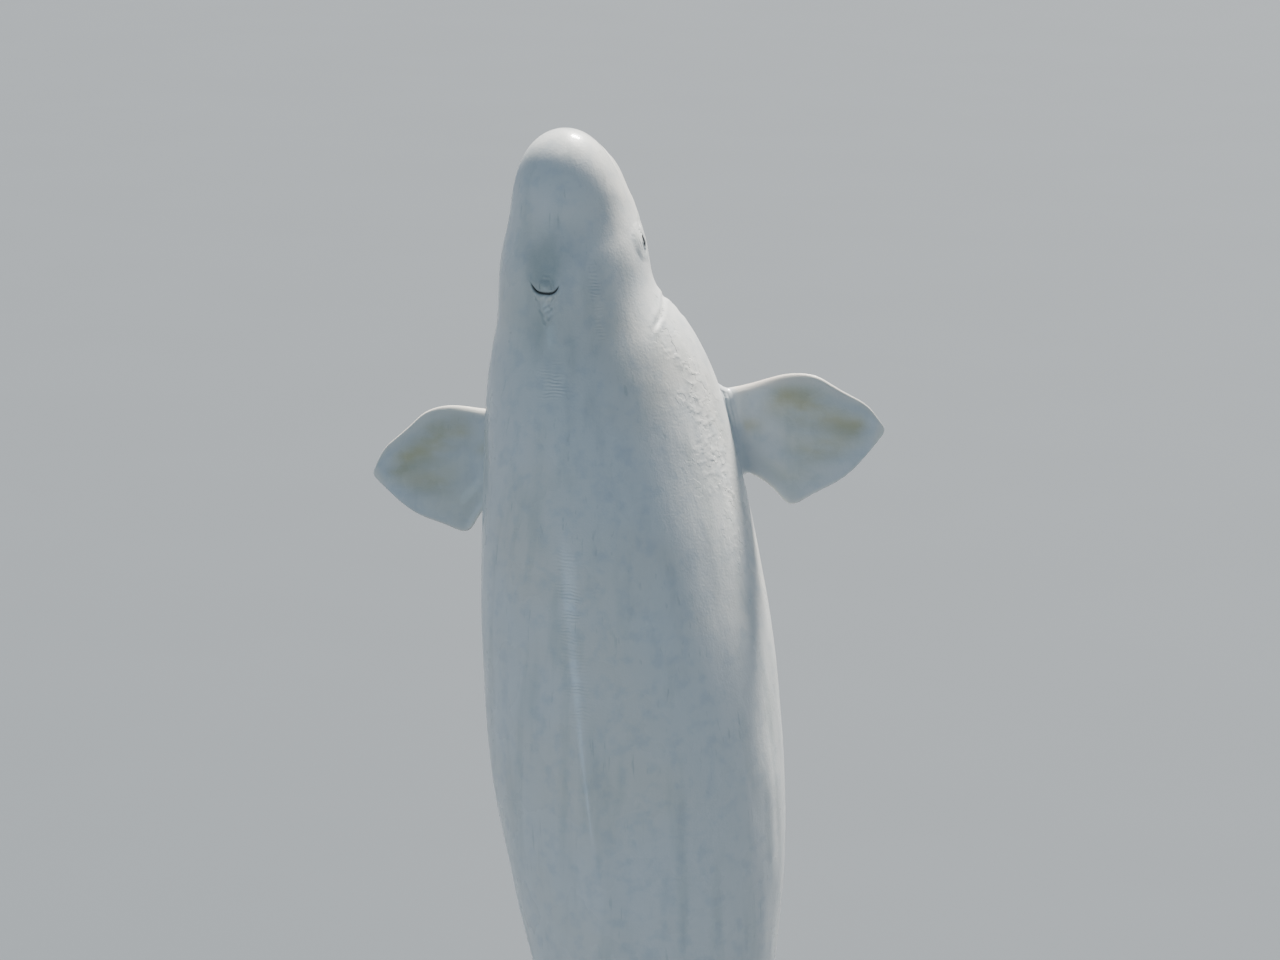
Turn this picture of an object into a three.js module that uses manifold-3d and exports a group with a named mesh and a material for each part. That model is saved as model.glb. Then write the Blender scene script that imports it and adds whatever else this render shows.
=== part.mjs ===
// A life-size model of a beluga whale that has risen upright, flippers spread, on a plain display stand.
// Millimetres, +Z up. The back faces -Y and the whale's right side is +X.
// The origin is the middle of the stand's underside.
import * as THREE from "three";
import { mergeVertices } from "three/addons/utils/BufferGeometryUtils.js";
import Module from "manifold-3d";

const wasm = await Module();
wasm.setup();

// Driving dimensions of the body, measured along it from the tip of the snout.
const bodyLength = 3700; // to the notch between the flukes
const headCentre = { along: 290, up: 15 }; // the front of the head is drawn out from here
const crownTilt = 0.3; // how far the first direction out of the head's centre rises
const ringSides = 40;
const headRings = 17;
const bodyRings = 28;
const flukeRings = 11;

// Landmarks down the body: half its width, the height of the back over the axis, the depth of the belly
// under it, and how far the widest level lies over the axis.
const landmarks = [
  { along: 180, wide: 122, back: 130, belly: 102, level: -4 }, // hidden in the head
  { along: 340, wide: 152, back: 180, belly: 146, level: -24 },
  { along: 460, wide: 224, back: 204, belly: 184, level: -78 }, // neck
  { along: 620, wide: 290, back: 228, belly: 246, level: -116 }, // shoulder
  { along: 800, wide: 320, back: 260, belly: 312, level: -112 }, // behind the flippers
  { along: 1130, wide: 360, back: 304, belly: 358, level: -84 },
  { along: 1480, wide: 380, back: 328, belly: 368, level: -52 }, // greatest girth
  { along: 1900, wide: 348, back: 318, belly: 334, level: -24 },
  { along: 2300, wide: 268, back: 272, belly: 256, level: -10 },
  { along: 2700, wide: 174, back: 200, belly: 172, level: 0 }, // vent
  { along: 3100, wide: 94, back: 138, belly: 118, level: 0 },
  { along: 3400, wide: 46, back: 98, belly: 86, level: 0 }, // tail stock, where the flukes begin
];

// The rounded forms that make up the head. Centres and half sizes are along, across and up.
const headForms = {
  skull: { centre: [392, 0, 8], half: [320, 192, 198], blend: 40 },
  melon: { centre: [143, 0, 96], half: [143, 122, 110], blend: 80 },
  upperJaw: { centre: [170, 0, -12], half: [158, 109, 46], blend: 24 },
  lowerJaw: { centre: [188, 0, -72], half: [164, 106, 54], blend: 42 },
};

const capSoftness = 40; // how softly the trunk ends inside the head

// A low ridge takes the place of a fin on the back.
const ridge = { from: 1000, peak: 1950, to: 2650, height: 20, halfWidth: 44 };

// Flukes: half their span, the lobes behind the notch, and how thick the blade is.
const fluke = {
  start: 3400,
  halfSpan: 432,
  tipAlong: 3692,
  sweepPower: 1.45,
  lobe: 74,
  lobePower: 0.72,
  bladeHalf: 17,
  edgeHalf: 1.5,
  stockHalfWidth: 52,
  keelFlow: 1.64,
  droop: 26,
};

// The pose, in degrees: how the head leans to the belly's side and to the left, and the bends behind it.
const headLean = { forward: 14, left: 3.4 };
const bends = [
  { from: 240, to: 560, back: 9, left: 6.2 }, // neck
  { from: 600, to: 900, back: 0, left: -0.5 }, // shoulders
  { from: 1450, to: 3350, back: -27, left: 0 }, // lower back
  { from: 3350, to: 3650, back: 10, left: 0 }, // flukes
];
const balancePoint = 1480; // this place on the axis stands close to the middle of the base
const balance = { right: -110, front: 130 }; // and this far from it
const snoutHeight = 3700;
const spineStep = 10;

// Flippers. The planform runs out along the span, from the root to the tip.
const flipper = {
  rootAlong: 663,
  rootAcross: 215,
  rootUp: -175,
  span: 516,
  stations: [
    { out: 0, middle: 112, halfChord: 76, halfThick: 40 },
    { out: 0.3, middle: 85, halfChord: 109, halfThick: 30 },
    { out: 0.46, middle: 72, halfChord: 142, halfThick: 23 },
    { out: 0.54, middle: 76.5, halfChord: 161.5, halfThick: 19.5 },
    { out: 0.63, middle: 87.5, halfChord: 180, halfThick: 16 },
    { out: 0.71, middle: 78.5, halfChord: 166, halfThick: 13.8 },
    { out: 0.82, middle: 62, halfChord: 150, halfThick: 11 },
    { out: 0.92, middle: 39.5, halfChord: 124, halfThick: 9 },
    { out: 1, middle: 16, halfChord: 62, halfThick: 7 },
  ],
  tipPower: 4,
  trailingThin: 0.62,
  sweep: { right: 20, left: 17.5 },
  raise: { right: -9, left: -4 },
  twist: 6,
  curl: 26,
  ringSides: 18,
  rings: 12,
};

const eye = { along: 278, up: 8, radius: 22, proud: 4, sides: 14 };

// The mouth: where the lips meet, and where its corner is.
const mouth = { tip: -36, dip: -50, corner: -18, cornerAlong: 214, breadth: 600 };

// Where the body is parted, and how wide the cuts are.
const partings = [480, 690, 1700, 2620, 3396];
const cutWidth = 0.6;
const skinGap = 0.4;

// The stand.
const base = { wide: 1500, deep: 1300, high: 50, corner: 160, bevel: 8 };
const rod = { radius: 30, footRadius: 90, footHigh: 18, footEdge: 5, cupRadius: 46, cupSlope: 24, sides: 20 };
const rods = [
  { name: "stand_rod_front", along: 2180, share: 0.62, cupHigh: 250 },
  { name: "stand_rod_back", along: 2960, share: 0.5, cupHigh: 150 },
]; // where each goes in, as a place along the body and a share of the depth of the belly there

const radians = THREE.MathUtils.degToRad;
const lerp = THREE.MathUtils.lerp;

function ease(value, from, to) {
  return THREE.MathUtils.smootherstep(value, from, to);
}

// A natural cubic spline through the values that the rows hold under two keys.
function smoothThrough(rows, place, key) {
  const x = rows.map((row) => row[place]);
  const y = rows.map((row) => row[key]);
  const last = x.length - 1;
  const upper = new Array(last + 1).fill(0);
  const right = new Array(last + 1).fill(0);
  const bend = new Array(last + 1).fill(0);
  for (let i = 1; i < last; i++) {
    const before = x[i] - x[i - 1];
    const after = x[i + 1] - x[i];
    const pivot = 2 * (before + after) - before * upper[i - 1];
    const change = (y[i + 1] - y[i]) / after - (y[i] - y[i - 1]) / before;
    upper[i] = after / pivot;
    right[i] = (6 * change - before * right[i - 1]) / pivot;
  }
  for (let i = last - 1; i > 0; i--) bend[i] = right[i] - upper[i] * bend[i + 1];
  return (at) => {
    const inside = Math.min(Math.max(at, x[0]), x[last]);
    let i = 0;
    while (i < last - 1 && inside > x[i + 1]) i++;
    const step = x[i + 1] - x[i];
    const p = (x[i + 1] - inside) / step;
    const q = 1 - p;
    const curve = ((p ** 3 - p) * bend[i] + (q ** 3 - q) * bend[i + 1]) * step * step / 6;
    return p * y[i] + q * y[i + 1] + curve;
  };
}

const halfWidth = smoothThrough(landmarks, "along", "wide");
const backHeight = smoothThrough(landmarks, "along", "back");
const bellyDepth = smoothThrough(landmarks, "along", "belly");
const wideLevel = smoothThrough(landmarks, "along", "level");

// About how far a point lies outside an oval, less than zero inside it.
function ovalGap(offsets, halves) {
  const scaled = Math.hypot(...offsets.map((offset, i) => offset / halves[i]));
  const steep = Math.hypot(...offsets.map((offset, i) => offset / halves[i] ** 2));
  return (scaled * (scaled - 1)) / Math.max(steep, 1e-9);
}

// The smaller of two gaps, rounded off where they are alike.
function joined(first, second, blend) {
  const mix = Math.max(blend - Math.abs(first - second), 0) / blend;
  return Math.min(first, second) - (mix * mix * blend) / 4;
}

function trunkGap(along, across, up) {
  const level = wideLevel(along);
  const half = up > level ? backHeight(along) - level : bellyDepth(along) + level;
  return ovalGap([across, up - level], [halfWidth(along), half]);
}

// The gap to the whole body before it is bent, with the head's forms melted into the trunk.
function bodyGap(along, across, up) {
  const ahead = Math.max(landmarks[0].along - along, 0);
  let gap = trunkGap(along + ahead, across, up) + ahead ** 2 / (ahead + capSoftness);
  for (const { centre, half, blend } of Object.values(headForms)) {
    const offsets = [along - centre[0], across - centre[1], up - centre[2]];
    gap = joined(gap, ovalGap(offsets, half), blend);
  }
  return gap;
}

// How far out a straight line leaves the body.
function reach(from, way) {
  let inside = 0;
  let outside = 600;
  for (let i = 0; i < 30; i++) {
    const middle = (inside + outside) / 2;
    const gap = bodyGap(from[0] + way[0] * middle, way[1] * middle, from[1] + way[2] * middle);
    if (gap < 0) inside = middle;
    else outside = middle;
  }
  return inside;
}

// The axis of the body in the pose: its points, found by adding up short steps.
function axesAt(along) {
  let back = -headLean.forward;
  let left = headLean.left;
  for (const bend of bends) {
    back += bend.back * ease(along, bend.from, bend.to);
    left += bend.left * ease(along, bend.from, bend.to);
  }
  const lean = radians(back);
  const side = radians(left);
  const tailward = new THREE.Vector3(
    Math.sin(side),
    Math.cos(side) * Math.sin(lean),
    -Math.cos(side) * Math.cos(lean),
  );
  const up = new THREE.Vector3(0, -Math.cos(lean), -Math.sin(lean));
  const across = new THREE.Vector3().crossVectors(up, tailward);
  return { tailward, up, across };
}

const spine = [new THREE.Vector3()];
for (let along = 0; along < bodyLength + 300; along += spineStep) {
  const { tailward } = axesAt(along + spineStep / 2);
  spine.push(spine.at(-1).clone().addScaledVector(tailward, spineStep));
}

function spineAt(along) {
  if (along < 0) return spine[0].clone().addScaledVector(axesAt(0).tailward, along);
  const at = along / spineStep;
  const before = Math.min(Math.floor(at), spine.length - 2);
  return spine[before].clone().lerp(spine[before + 1], at - before);
}

const shift = new THREE.Vector3(balance.right, balance.front, snoutHeight).sub(spineAt(balancePoint).setZ(0));
for (const point of spine) point.add(shift);

// A place given along, across and up from the axis, carried to where the pose puts it.
function posed(along, across, up) {
  const axes = axesAt(along);
  return spineAt(along).addScaledVector(axes.across, across).addScaledVector(axes.up, up);
}

function ridgeHeight(along, across) {
  const rise = ease(along, ridge.from, ridge.peak) * (1 - ease(along, ridge.peak, ridge.to));
  return ridge.height * rise * Math.exp(-((across / ridge.halfWidth) ** 2));
}

// The front of the head: lines fan out from its centre, over the snout and back.
function headPoint(share, turn, grow) {
  const lean = share * Math.PI / 2;
  const way = new THREE.Vector3(
    -Math.cos(lean),
    Math.sin(lean) * Math.sin(turn),
    Math.sin(lean) * Math.cos(turn) + crownTilt * Math.cos(lean),
  ).normalize();
  const length = reach([headCentre.along, headCentre.up], way.toArray()) + grow;
  return posed(
    headCentre.along + way.x * length,
    way.y * length,
    headCentre.up + way.z * length,
  );
}

// The rest of the body: rings square to the axis.
function trunkPoint(share, turn, grow) {
  const along = lerp(headCentre.along, fluke.start, share);
  const settle = ease(along, headCentre.along, 900);
  const middle = lerp(headCentre.up, wideLevel(along), settle);
  const half = Math.cos(turn) > 0 ? backHeight(along) - middle : bellyDepth(along) + middle;
  const slim = lerp(1, halfWidth(along) / half, settle);
  const way = new THREE.Vector3(0, slim * Math.sin(turn), Math.cos(turn)).normalize();
  const length = reach([along, middle], way.toArray()) + grow;
  const across = way.y * length;
  const raised = Math.cos(turn) > 0 ? ridgeHeight(along, across) : 0;
  return posed(along, across, middle + way.z * length + raised);
}

// The flukes: the last rings of the body, spread flat and swept back to the trailing edge.
function flukePoint(share, turn, grow) {
  const stock = landmarks.at(-1);
  const opening = Math.sin((Math.PI / 2) * share ** fluke.sweepPower);
  const side = Math.sin(turn);
  const facing = Math.cos(turn);
  const across = side * (lerp(stock.wide, fluke.halfSpan, opening) + grow);
  const lobe = fluke.lobe * Math.sin(Math.PI * Math.abs(side) ** fluke.lobePower) ** fluke.lobePower;
  const along = lerp(fluke.start, fluke.tipAlong, share) + lobe * share * share;
  const blade = lerp(fluke.bladeHalf, fluke.edgeHalf, share ** 1.5) * Math.min(1, share * 4);
  const stockHalf = facing > 0 ? stock.back : stock.belly;
  const spread = fluke.stockHalfWidth * (1 + 3 * Math.max(0, 0.35 - share));
  const fading = (1 - share) ** 2 * (1 + fluke.keelFlow * share);
  const keel = stockHalf * fading * Math.exp(-((across / spread) ** 2) * Math.min(1, share * 5));
  const closing = share > 0.999 ? 0 : 1;
  const bend = -fluke.droop * (across / fluke.halfSpan) ** 2 * share;
  return posed(along, across, bend + facing * (blade + keel + grow) * closing);
}

// Bends a closed grid of the right size into the whole body, a little larger where it has to cut others.
function bodyGeometry(grow) {
  const rings = headRings + bodyRings + flukeRings;
  const open = 0.999 * Math.PI;
  const geometry = new THREE.SphereGeometry(1, ringSides, rings, 0, 2 * Math.PI, 0, open);
  const place = geometry.getAttribute("position");
  for (let ring = 0; ring <= rings; ring++) {
    for (let side = 0; side <= ringSides; side++) {
      const turn = (2 * Math.PI * (side % ringSides)) / ringSides;
      let point;
      if (ring <= headRings) {
        point = headPoint(ring / headRings, ring ? turn : 0, grow);
      } else if (ring <= headRings + bodyRings) {
        point = trunkPoint((ring - headRings) / bodyRings, turn, grow);
      } else {
        const share = (ring - headRings - bodyRings) / flukeRings;
        const folded = share === 1 && Math.cos(turn) < 0 ? Math.PI - turn : turn;
        point = flukePoint(share, folded, grow);
      }
      place.setXYZ(ring * (ringSides + 1) + side, ...point);
    }
  }
  return geometry;
}

// A closed geometry as a solid that can be cut, and back again.
function solidFrom(geometry) {
  const bare = geometry.clone();
  bare.deleteAttribute("normal");
  bare.deleteAttribute("uv");
  const merged = mergeVertices(bare, 1e-3);
  return new wasm.Manifold(
    new wasm.Mesh({
      numProp: 3,
      vertProperties: merged.attributes.position.array,
      triVerts: new Uint32Array(merged.index.array),
    }),
  );
}

function geometryFrom(solid) {
  const { vertProperties, triVerts } = solid.getMesh();
  const geometry = new THREE.BufferGeometry();
  geometry.setAttribute("position", new THREE.BufferAttribute(vertProperties, 3));
  geometry.setIndex(new THREE.BufferAttribute(triVerts, 1));
  geometry.computeVertexNormals();
  return geometry;
}

// Where the axis is at a place along the body: its x runs across, its y to the belly, its z to the head.
function axisMatrix(along) {
  const { tailward, up, across } = axesAt(along);
  const turned = new THREE.Matrix4().makeBasis(across, up.negate(), tailward.negate());
  return turned.setPosition(spineAt(along));
}

// A thin plate across the body, square to its axis.
function plateAcross(along) {
  const size = 1400;
  return new THREE.BoxGeometry(size, size, cutWidth).applyMatrix4(axisMatrix(along));
}

// A thin plate down the middle of the flukes, from the last parting on.
function plateBetweenFlukes() {
  const size = 700;
  const plate = new THREE.BoxGeometry(cutWidth, size, size).translate(0, 0, -size / 2);
  return plate.applyMatrix4(axisMatrix(partings.at(-1)));
}

// A thin sheet from the lips back to the corner of the mouth and down behind the jaw.
function sheetUnderMouth() {
  const { tip, dip, corner, cornerAlong, breadth } = mouth;
  const outer = [
    [-60, tip],
    [cornerAlong * 0.35, dip],
    [cornerAlong * 0.75, (dip + corner) / 2],
    [cornerAlong, corner],
    [cornerAlong + 50, corner - 70],
    [cornerAlong + 90, -330],
  ];
  const inner = outer.map(([along, up]) => [along - cutWidth, up - cutWidth]).reverse();
  const outline = new THREE.Shape([...outer, ...inner].map(([along, up]) => new THREE.Vector2(-up, -along)));
  const sheet = new THREE.ExtrudeGeometry(outline, { depth: breadth, bevelEnabled: false });
  sheet.translate(0, 0, -breadth / 2);
  const sideways = new THREE.Matrix4().makeBasis(
    new THREE.Vector3(0, 1, 0),
    new THREE.Vector3(0, 0, 1),
    new THREE.Vector3(1, 0, 0),
  );
  return sheet.applyMatrix4(sideways).applyMatrix4(axisMatrix(0));
}

const flipperMiddle = smoothThrough(flipper.stations, "out", "middle");
const flipperChord = smoothThrough(flipper.stations, "out", "halfChord");
const flipperThick = smoothThrough(flipper.stations, "out", "halfThick");

// A point on a flipper, in its own axes: out along the span, back along the chord, and up.
function flipperPoint(out, turn) {
  const blunt = Math.sqrt(Math.max(0, 1 - out ** flipper.tipPower));
  const back = flipperMiddle(out) - flipperChord(out) * blunt * Math.cos(turn);
  const towardTrailing = (1 - Math.cos(turn)) / 2;
  const thick = flipperThick(out) * blunt * (1 - flipper.trailingThin * towardTrailing);
  return [out * flipper.span, back, Math.sin(turn) * thick + flipper.curl * out * out];
}

// The flipper's axes in the pose, on the right side for side 1 and the left for side -1.
function flipperMatrix(side) {
  const name = side > 0 ? "right" : "left";
  const { tailward, up, across } = axesAt(flipper.rootAlong);
  const turned = new THREE.Matrix4()
    .makeRotationZ(radians(flipper.sweep[name]))
    .multiply(new THREE.Matrix4().makeRotationY(radians(-flipper.raise[name])))
    .multiply(new THREE.Matrix4().makeRotationX(radians(flipper.twist)));
  const axes = new THREE.Matrix4().makeBasis(across.clone().multiplyScalar(side), tailward, up);
  const root = posed(flipper.rootAlong, side * flipper.rootAcross, flipper.rootUp);
  return new THREE.Matrix4().setPosition(root).multiply(axes).multiply(turned);
}

function flipperGeometry(side) {
  const { ringSides: sides, rings } = flipper;
  const geometry = new THREE.SphereGeometry(1, sides, rings);
  const place = geometry.getAttribute("position");
  const matrix = flipperMatrix(side);
  for (let ring = 0; ring <= rings; ring++) {
    for (let step = 0; step <= sides; step++) {
      const turn = (2 * Math.PI * (step % sides)) / sides;
      const out = Math.sin((Math.PI / 2) * Math.min(1, Math.max(0, (ring - 1) / (rings - 1))));
      const local = ring === 0 ? [0, flipperMiddle(0), 0] : flipperPoint(out, ring === rings ? 0 : turn);
      const point = new THREE.Vector3(...local).applyMatrix4(matrix);
      place.setXYZ(ring * (sides + 1) + step, ...point);
    }
  }
  if (solidFrom(geometry).volume() < 0) turnInsideOut(geometry);
  return geometry;
}

function turnInsideOut(geometry) {
  const index = geometry.getIndex();
  for (let i = 0; i < index.count; i += 3) {
    const first = index.getX(i);
    index.setX(i, index.getX(i + 1));
    index.setX(i + 1, first);
  }
}

// An eyeball, set so that its front stands a little out of the head, or the larger socket round it.
function eyeGeometry(side, grow) {
  const skin = reach([eye.along, eye.up], [0, 1, 0]);
  const centre = posed(eye.along, side * (skin - eye.radius + eye.proud), eye.up);
  return new THREE.SphereGeometry(eye.radius + grow, eye.sides, eye.sides / 2).translate(...centre);
}

function baseGeometry() {
  const { wide, deep, high, corner, bevel } = base;
  const x = wide / 2 - bevel;
  const y = deep / 2 - bevel;
  const outline = new THREE.Shape();
  outline.moveTo(-x + corner, -y);
  outline.lineTo(x - corner, -y);
  outline.absarc(x - corner, -y + corner, corner, -Math.PI / 2, 0);
  outline.absarc(x - corner, y - corner, corner, 0, Math.PI / 2);
  outline.absarc(-x + corner, y - corner, corner, Math.PI / 2, Math.PI);
  outline.absarc(-x + corner, -y + corner, corner, Math.PI, 1.5 * Math.PI);
  const settings = {
    depth: high - 2 * bevel,
    curveSegments: 6,
    bevelThickness: bevel,
    bevelSize: bevel,
    bevelSegments: 1,
  };
  return new THREE.ExtrudeGeometry(outline, settings).translate(0, 0, bevel);
}

function rodGeometry({ along, share, cupHigh }) {
  const end = posed(along, 0, -share * bellyDepth(along));
  const low = base.high + skinGap;
  const foot = low + rod.footHigh;
  const outline = [
    [0, low],
    [rod.footRadius, low],
    [rod.footRadius, foot - rod.footEdge],
    [rod.footRadius - rod.footEdge, foot],
    [rod.radius, foot],
    [rod.radius, end.z - cupHigh],
    [rod.cupRadius, end.z - cupHigh + rod.cupSlope],
    [rod.cupRadius, end.z],
    [0, end.z],
  ];
  const profile = outline.map(([across, up]) => new THREE.Vector2(across, up));
  return new THREE.LatheGeometry(profile, rod.sides).rotateX(Math.PI / 2).translate(end.x, end.y, 0);
}

// The largest of the pieces that a cut leaves.
function largestPiece(solid) {
  return solid.decompose().sort((one, other) => other.volume() - one.volume())[0];
}

const skin = new THREE.Color(0.86, 0.88, 0.87);
const finishes = {
  skin: new THREE.MeshStandardMaterial({ color: skin, roughness: 0.32 }),
  eye: new THREE.MeshStandardMaterial({ color: 0x0d0b0a, roughness: 0.08 }),
  stand: new THREE.MeshStandardMaterial({ color: 0x8d9094, roughness: 0.35, metalness: 1 }),
  base: new THREE.MeshStandardMaterial({ color: 0x2a2c2e, roughness: 0.5 }),
};

const whale = new THREE.Group();

function addNode(name, geometry, finish) {
  const mesh = new THREE.Mesh(geometry, finishes[finish]);
  mesh.name = name;
  whale.add(mesh);
}

// The body, with sockets for the eyes, parted by thin cuts.
const sides = { right: 1, left: -1 };
let body = solidFrom(bodyGeometry(0));
for (const side of Object.values(sides)) body = body.subtract(solidFrom(eyeGeometry(side, skinGap)));
for (const along of partings) body = body.subtract(solidFrom(plateAcross(along)));
body = body.subtract(solidFrom(sheetUnderMouth())).subtract(solidFrom(plateBetweenFlukes()));

// The pieces come in order of height, and the flukes, which hang lowest, from right to left.
const bodyNames = ["lower_jaw", "head", "neck", "chest", "abdomen", "tail_stock"];
const flukeNames = ["fluke_right", "fluke_left"];
const middleOf = (solid, axis) => solid.boundingBox().min[axis] + solid.boundingBox().max[axis];
const pieces = body.decompose().sort((one, other) => middleOf(other, 2) - middleOf(one, 2));
const flukes = pieces.splice(bodyNames.length).sort((one, other) => middleOf(other, 0) - middleOf(one, 0));
bodyNames.forEach((name, place) => addNode(name, geometryFrom(pieces[place]), "skin"));
flukeNames.forEach((name, place) => addNode(name, geometryFrom(flukes[place]), "skin"));

const grown = solidFrom(bodyGeometry(skinGap));
for (const [name, side] of Object.entries(sides)) {
  const blade = solidFrom(flipperGeometry(side)).subtract(grown);
  addNode(`flipper_${name}`, geometryFrom(largestPiece(blade)), "skin");
  addNode(`eye_${name}`, eyeGeometry(side, 0), "eye");
}

addNode("stand_base", baseGeometry(), "base");
for (const place of rods) {
  addNode(place.name, geometryFrom(largestPiece(solidFrom(rodGeometry(place)).subtract(grown))), "stand");
}

export default whale;
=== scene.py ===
"""The looks of a life-size beluga whale on a plain display stand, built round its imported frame.

The whale's form follows the same landmarks, rounded forms and bends as its solids. A point on it is given as
(along, across, up): along the body's axis from the tip of the snout, across to the whale's right, and up to
its back. That is its place at rest, and the pose then bends the axis. Everything is in metres.
"""

import logging
import math
from collections.abc import Callable
from dataclasses import dataclass, field
from enum import Enum

import bmesh
import bpy
import numpy as np
from mathutils import Matrix, Vector, noise
from mathutils.bvhtree import BVHTree

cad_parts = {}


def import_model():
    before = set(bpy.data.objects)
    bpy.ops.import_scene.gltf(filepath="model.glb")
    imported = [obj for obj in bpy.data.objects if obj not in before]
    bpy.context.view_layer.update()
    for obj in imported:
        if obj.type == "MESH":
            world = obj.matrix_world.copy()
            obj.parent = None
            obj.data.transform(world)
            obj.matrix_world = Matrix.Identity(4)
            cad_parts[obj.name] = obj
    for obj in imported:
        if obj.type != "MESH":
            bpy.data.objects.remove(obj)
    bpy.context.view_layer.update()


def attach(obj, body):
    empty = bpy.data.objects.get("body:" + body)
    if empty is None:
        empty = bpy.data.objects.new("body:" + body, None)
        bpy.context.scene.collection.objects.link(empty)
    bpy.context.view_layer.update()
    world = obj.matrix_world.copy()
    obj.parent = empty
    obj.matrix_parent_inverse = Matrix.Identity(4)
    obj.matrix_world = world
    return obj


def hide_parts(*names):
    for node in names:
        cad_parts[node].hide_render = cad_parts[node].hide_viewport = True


log = logging.getLogger("whale")

Array = np.ndarray
Triple = tuple[float, float, float]
Pair = tuple[float, float]
Colour = Triple
Edge = bmesh.types.BMEdge
Mesh = bmesh.types.BMesh
Piece = bpy.types.Object
Socket = bpy.types.NodeSocket
Vert = bmesh.types.BMVert

BODY = "root"
HALVINGS = 26  # how often a search for the skin's surface is narrowed down


def ease(value: Array | float, start: float, end: float) -> Array:
    """Rises smoothly from 0 at one value to 1 at another.

    Args:
        value: Where to look, one number or many.
        start: The value with a result of 0.
        end: The value with a result of 1.

    Returns:
        The share of the rise, as many as the values.
    """
    share = np.clip((np.asarray(value, float) - start) / (end - start), 0.0, 1.0)
    return share**3 * (share * (share * 6 - 15) + 10)


def hump(offset: Array, width: float) -> Array:
    """Gives a rounded hump: 1 at no offset, fading out over a width."""
    return np.exp(-((offset / width) ** 2))


def mixed(first: Array | float, second: Array | float, share: Array | float) -> Array:
    """Goes straight from one value to another as the share goes from 0 to 1."""
    return first + (second - first) * share


def unit(vectors: Array) -> Array:
    """Scales each vector to a length of 1."""
    return vectors / np.maximum(np.linalg.norm(vectors, axis=-1, keepdims=True), 1e-12)


@dataclass(frozen=True)
class Swell:
    """A rounded rise round one place, or a hollow if its height is less than zero."""

    height: float
    width: float
    place: float = 0.0

    def at(self, offset: Array) -> Array:
        """Gives its height at offsets."""
        return self.height * hump(offset - self.place, self.width)


@dataclass(frozen=True)
class Wave:
    """A regular wave."""

    height: float
    pace: float
    shift: float = 0.0

    def at(self, value: Array, further: float = 0.0) -> Array:
        """Gives its height at values, shifted further if asked."""
        return self.height * np.sin(value * self.pace + self.shift + further)


@dataclass(frozen=True)
class Stretch:
    """A stretch with soft ends, over which something rises from 0 to 1 and falls back to 0."""

    start: float
    full_from: float
    full_to: float
    end: float

    def share(self, value: Array) -> Array:
        """Gives how full it is at values."""
        return ease(value, self.start, self.full_from) * (1 - ease(value, self.full_to, self.end))


@dataclass(frozen=True)
class Grain:
    """Smooth uneven noise, which is the same each time."""

    height: float
    size: float | Triple  # of its patches, the same every way or one for each axis
    shift: float  # moves the pattern, so that two of them differ
    octaves: int = 2
    fading: float = 0.9
    closer: float = 2.1

    def at(self, points: Array) -> Array:
        """Gives its height at points."""
        scaled = points / np.asarray(self.size, float) + self.shift
        values = [noise.fractal(Vector(point), self.fading, self.closer, self.octaves) for point in scaled]
        return self.height * np.array(values)


def closed_in(within: Callable[[Array], Array], inside: Array, outside: Array) -> tuple[Array, Array]:
    """Closes in on where something ends.

    Args:
        within: Says which of many values are still inside it.
        inside: Values inside it.
        outside: Values outside it.

    Returns:
        The last values inside and the first ones outside.
    """
    for _ in range(HALVINGS):
        middle = (inside + outside) / 2
        still = within(middle)
        inside = np.where(still, middle, inside)
        outside = np.where(still, outside, middle)
    return inside, outside


class Spline:
    """A natural cubic spline through a few values, level beyond its ends."""

    def __init__(self, places: list[float], values: list[float]) -> None:
        """Works out the spline's bends from values at places in rising order."""
        self.places = np.asarray(places, float)
        self.values = np.asarray(values, float)
        steps = np.diff(self.places)
        slopes = np.diff(self.values) / steps
        matrix = np.eye(len(places))
        right = np.zeros(len(places))
        for i in range(1, len(places) - 1):
            matrix[i, i - 1 : i + 2] = steps[i - 1], 2 * (steps[i - 1] + steps[i]), steps[i]
            right[i] = 6 * (slopes[i] - slopes[i - 1])
        self.bends = np.linalg.solve(matrix, right)

    def __call__(self, at: Array | float) -> Array:
        """Gives the spline's value at one place or many."""
        inside = np.clip(at, self.places[0], self.places[-1])
        i = np.clip(np.searchsorted(self.places, inside, side="right") - 1, 0, len(self.places) - 2)
        step = self.places[i + 1] - self.places[i]
        p = (self.places[i + 1] - inside) / step
        q = 1 - p
        curve = ((p**3 - p) * self.bends[i] + (q**3 - q) * self.bends[i + 1]) * step * step / 6
        return p * self.values[i] + q * self.values[i + 1] + curve


@dataclass(frozen=True)
class Landmark:
    """The body's sizes at one place along it."""

    along: float
    wide: float  # half the width
    back: float  # from the axis up to the back
    belly: float  # from the axis down to the belly
    level: float  # how far the widest place lies over the axis


@dataclass(frozen=True)
class Oval:
    """One rounded form of the head, and how softly it melts into what is there before it."""

    centre: Triple
    half: Triple
    blend: float


def oval_gap(offsets: Array, halves: Array) -> Array:
    """Says about how far points, told from an oval's centre, lie outside it by its half sizes."""
    scaled = np.linalg.norm(offsets / halves, axis=-1)
    steep = np.linalg.norm(offsets / halves**2, axis=-1)
    return scaled * (scaled - 1) / np.maximum(steep, 1e-9)


def joined(first: Array, second: Array, blend: float) -> Array:
    """Gives the smaller of two gaps, rounded off where they are alike."""
    mix = np.maximum(blend - np.abs(first - second), 0) / blend
    return np.minimum(first, second) - mix * mix * blend / 4


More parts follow.
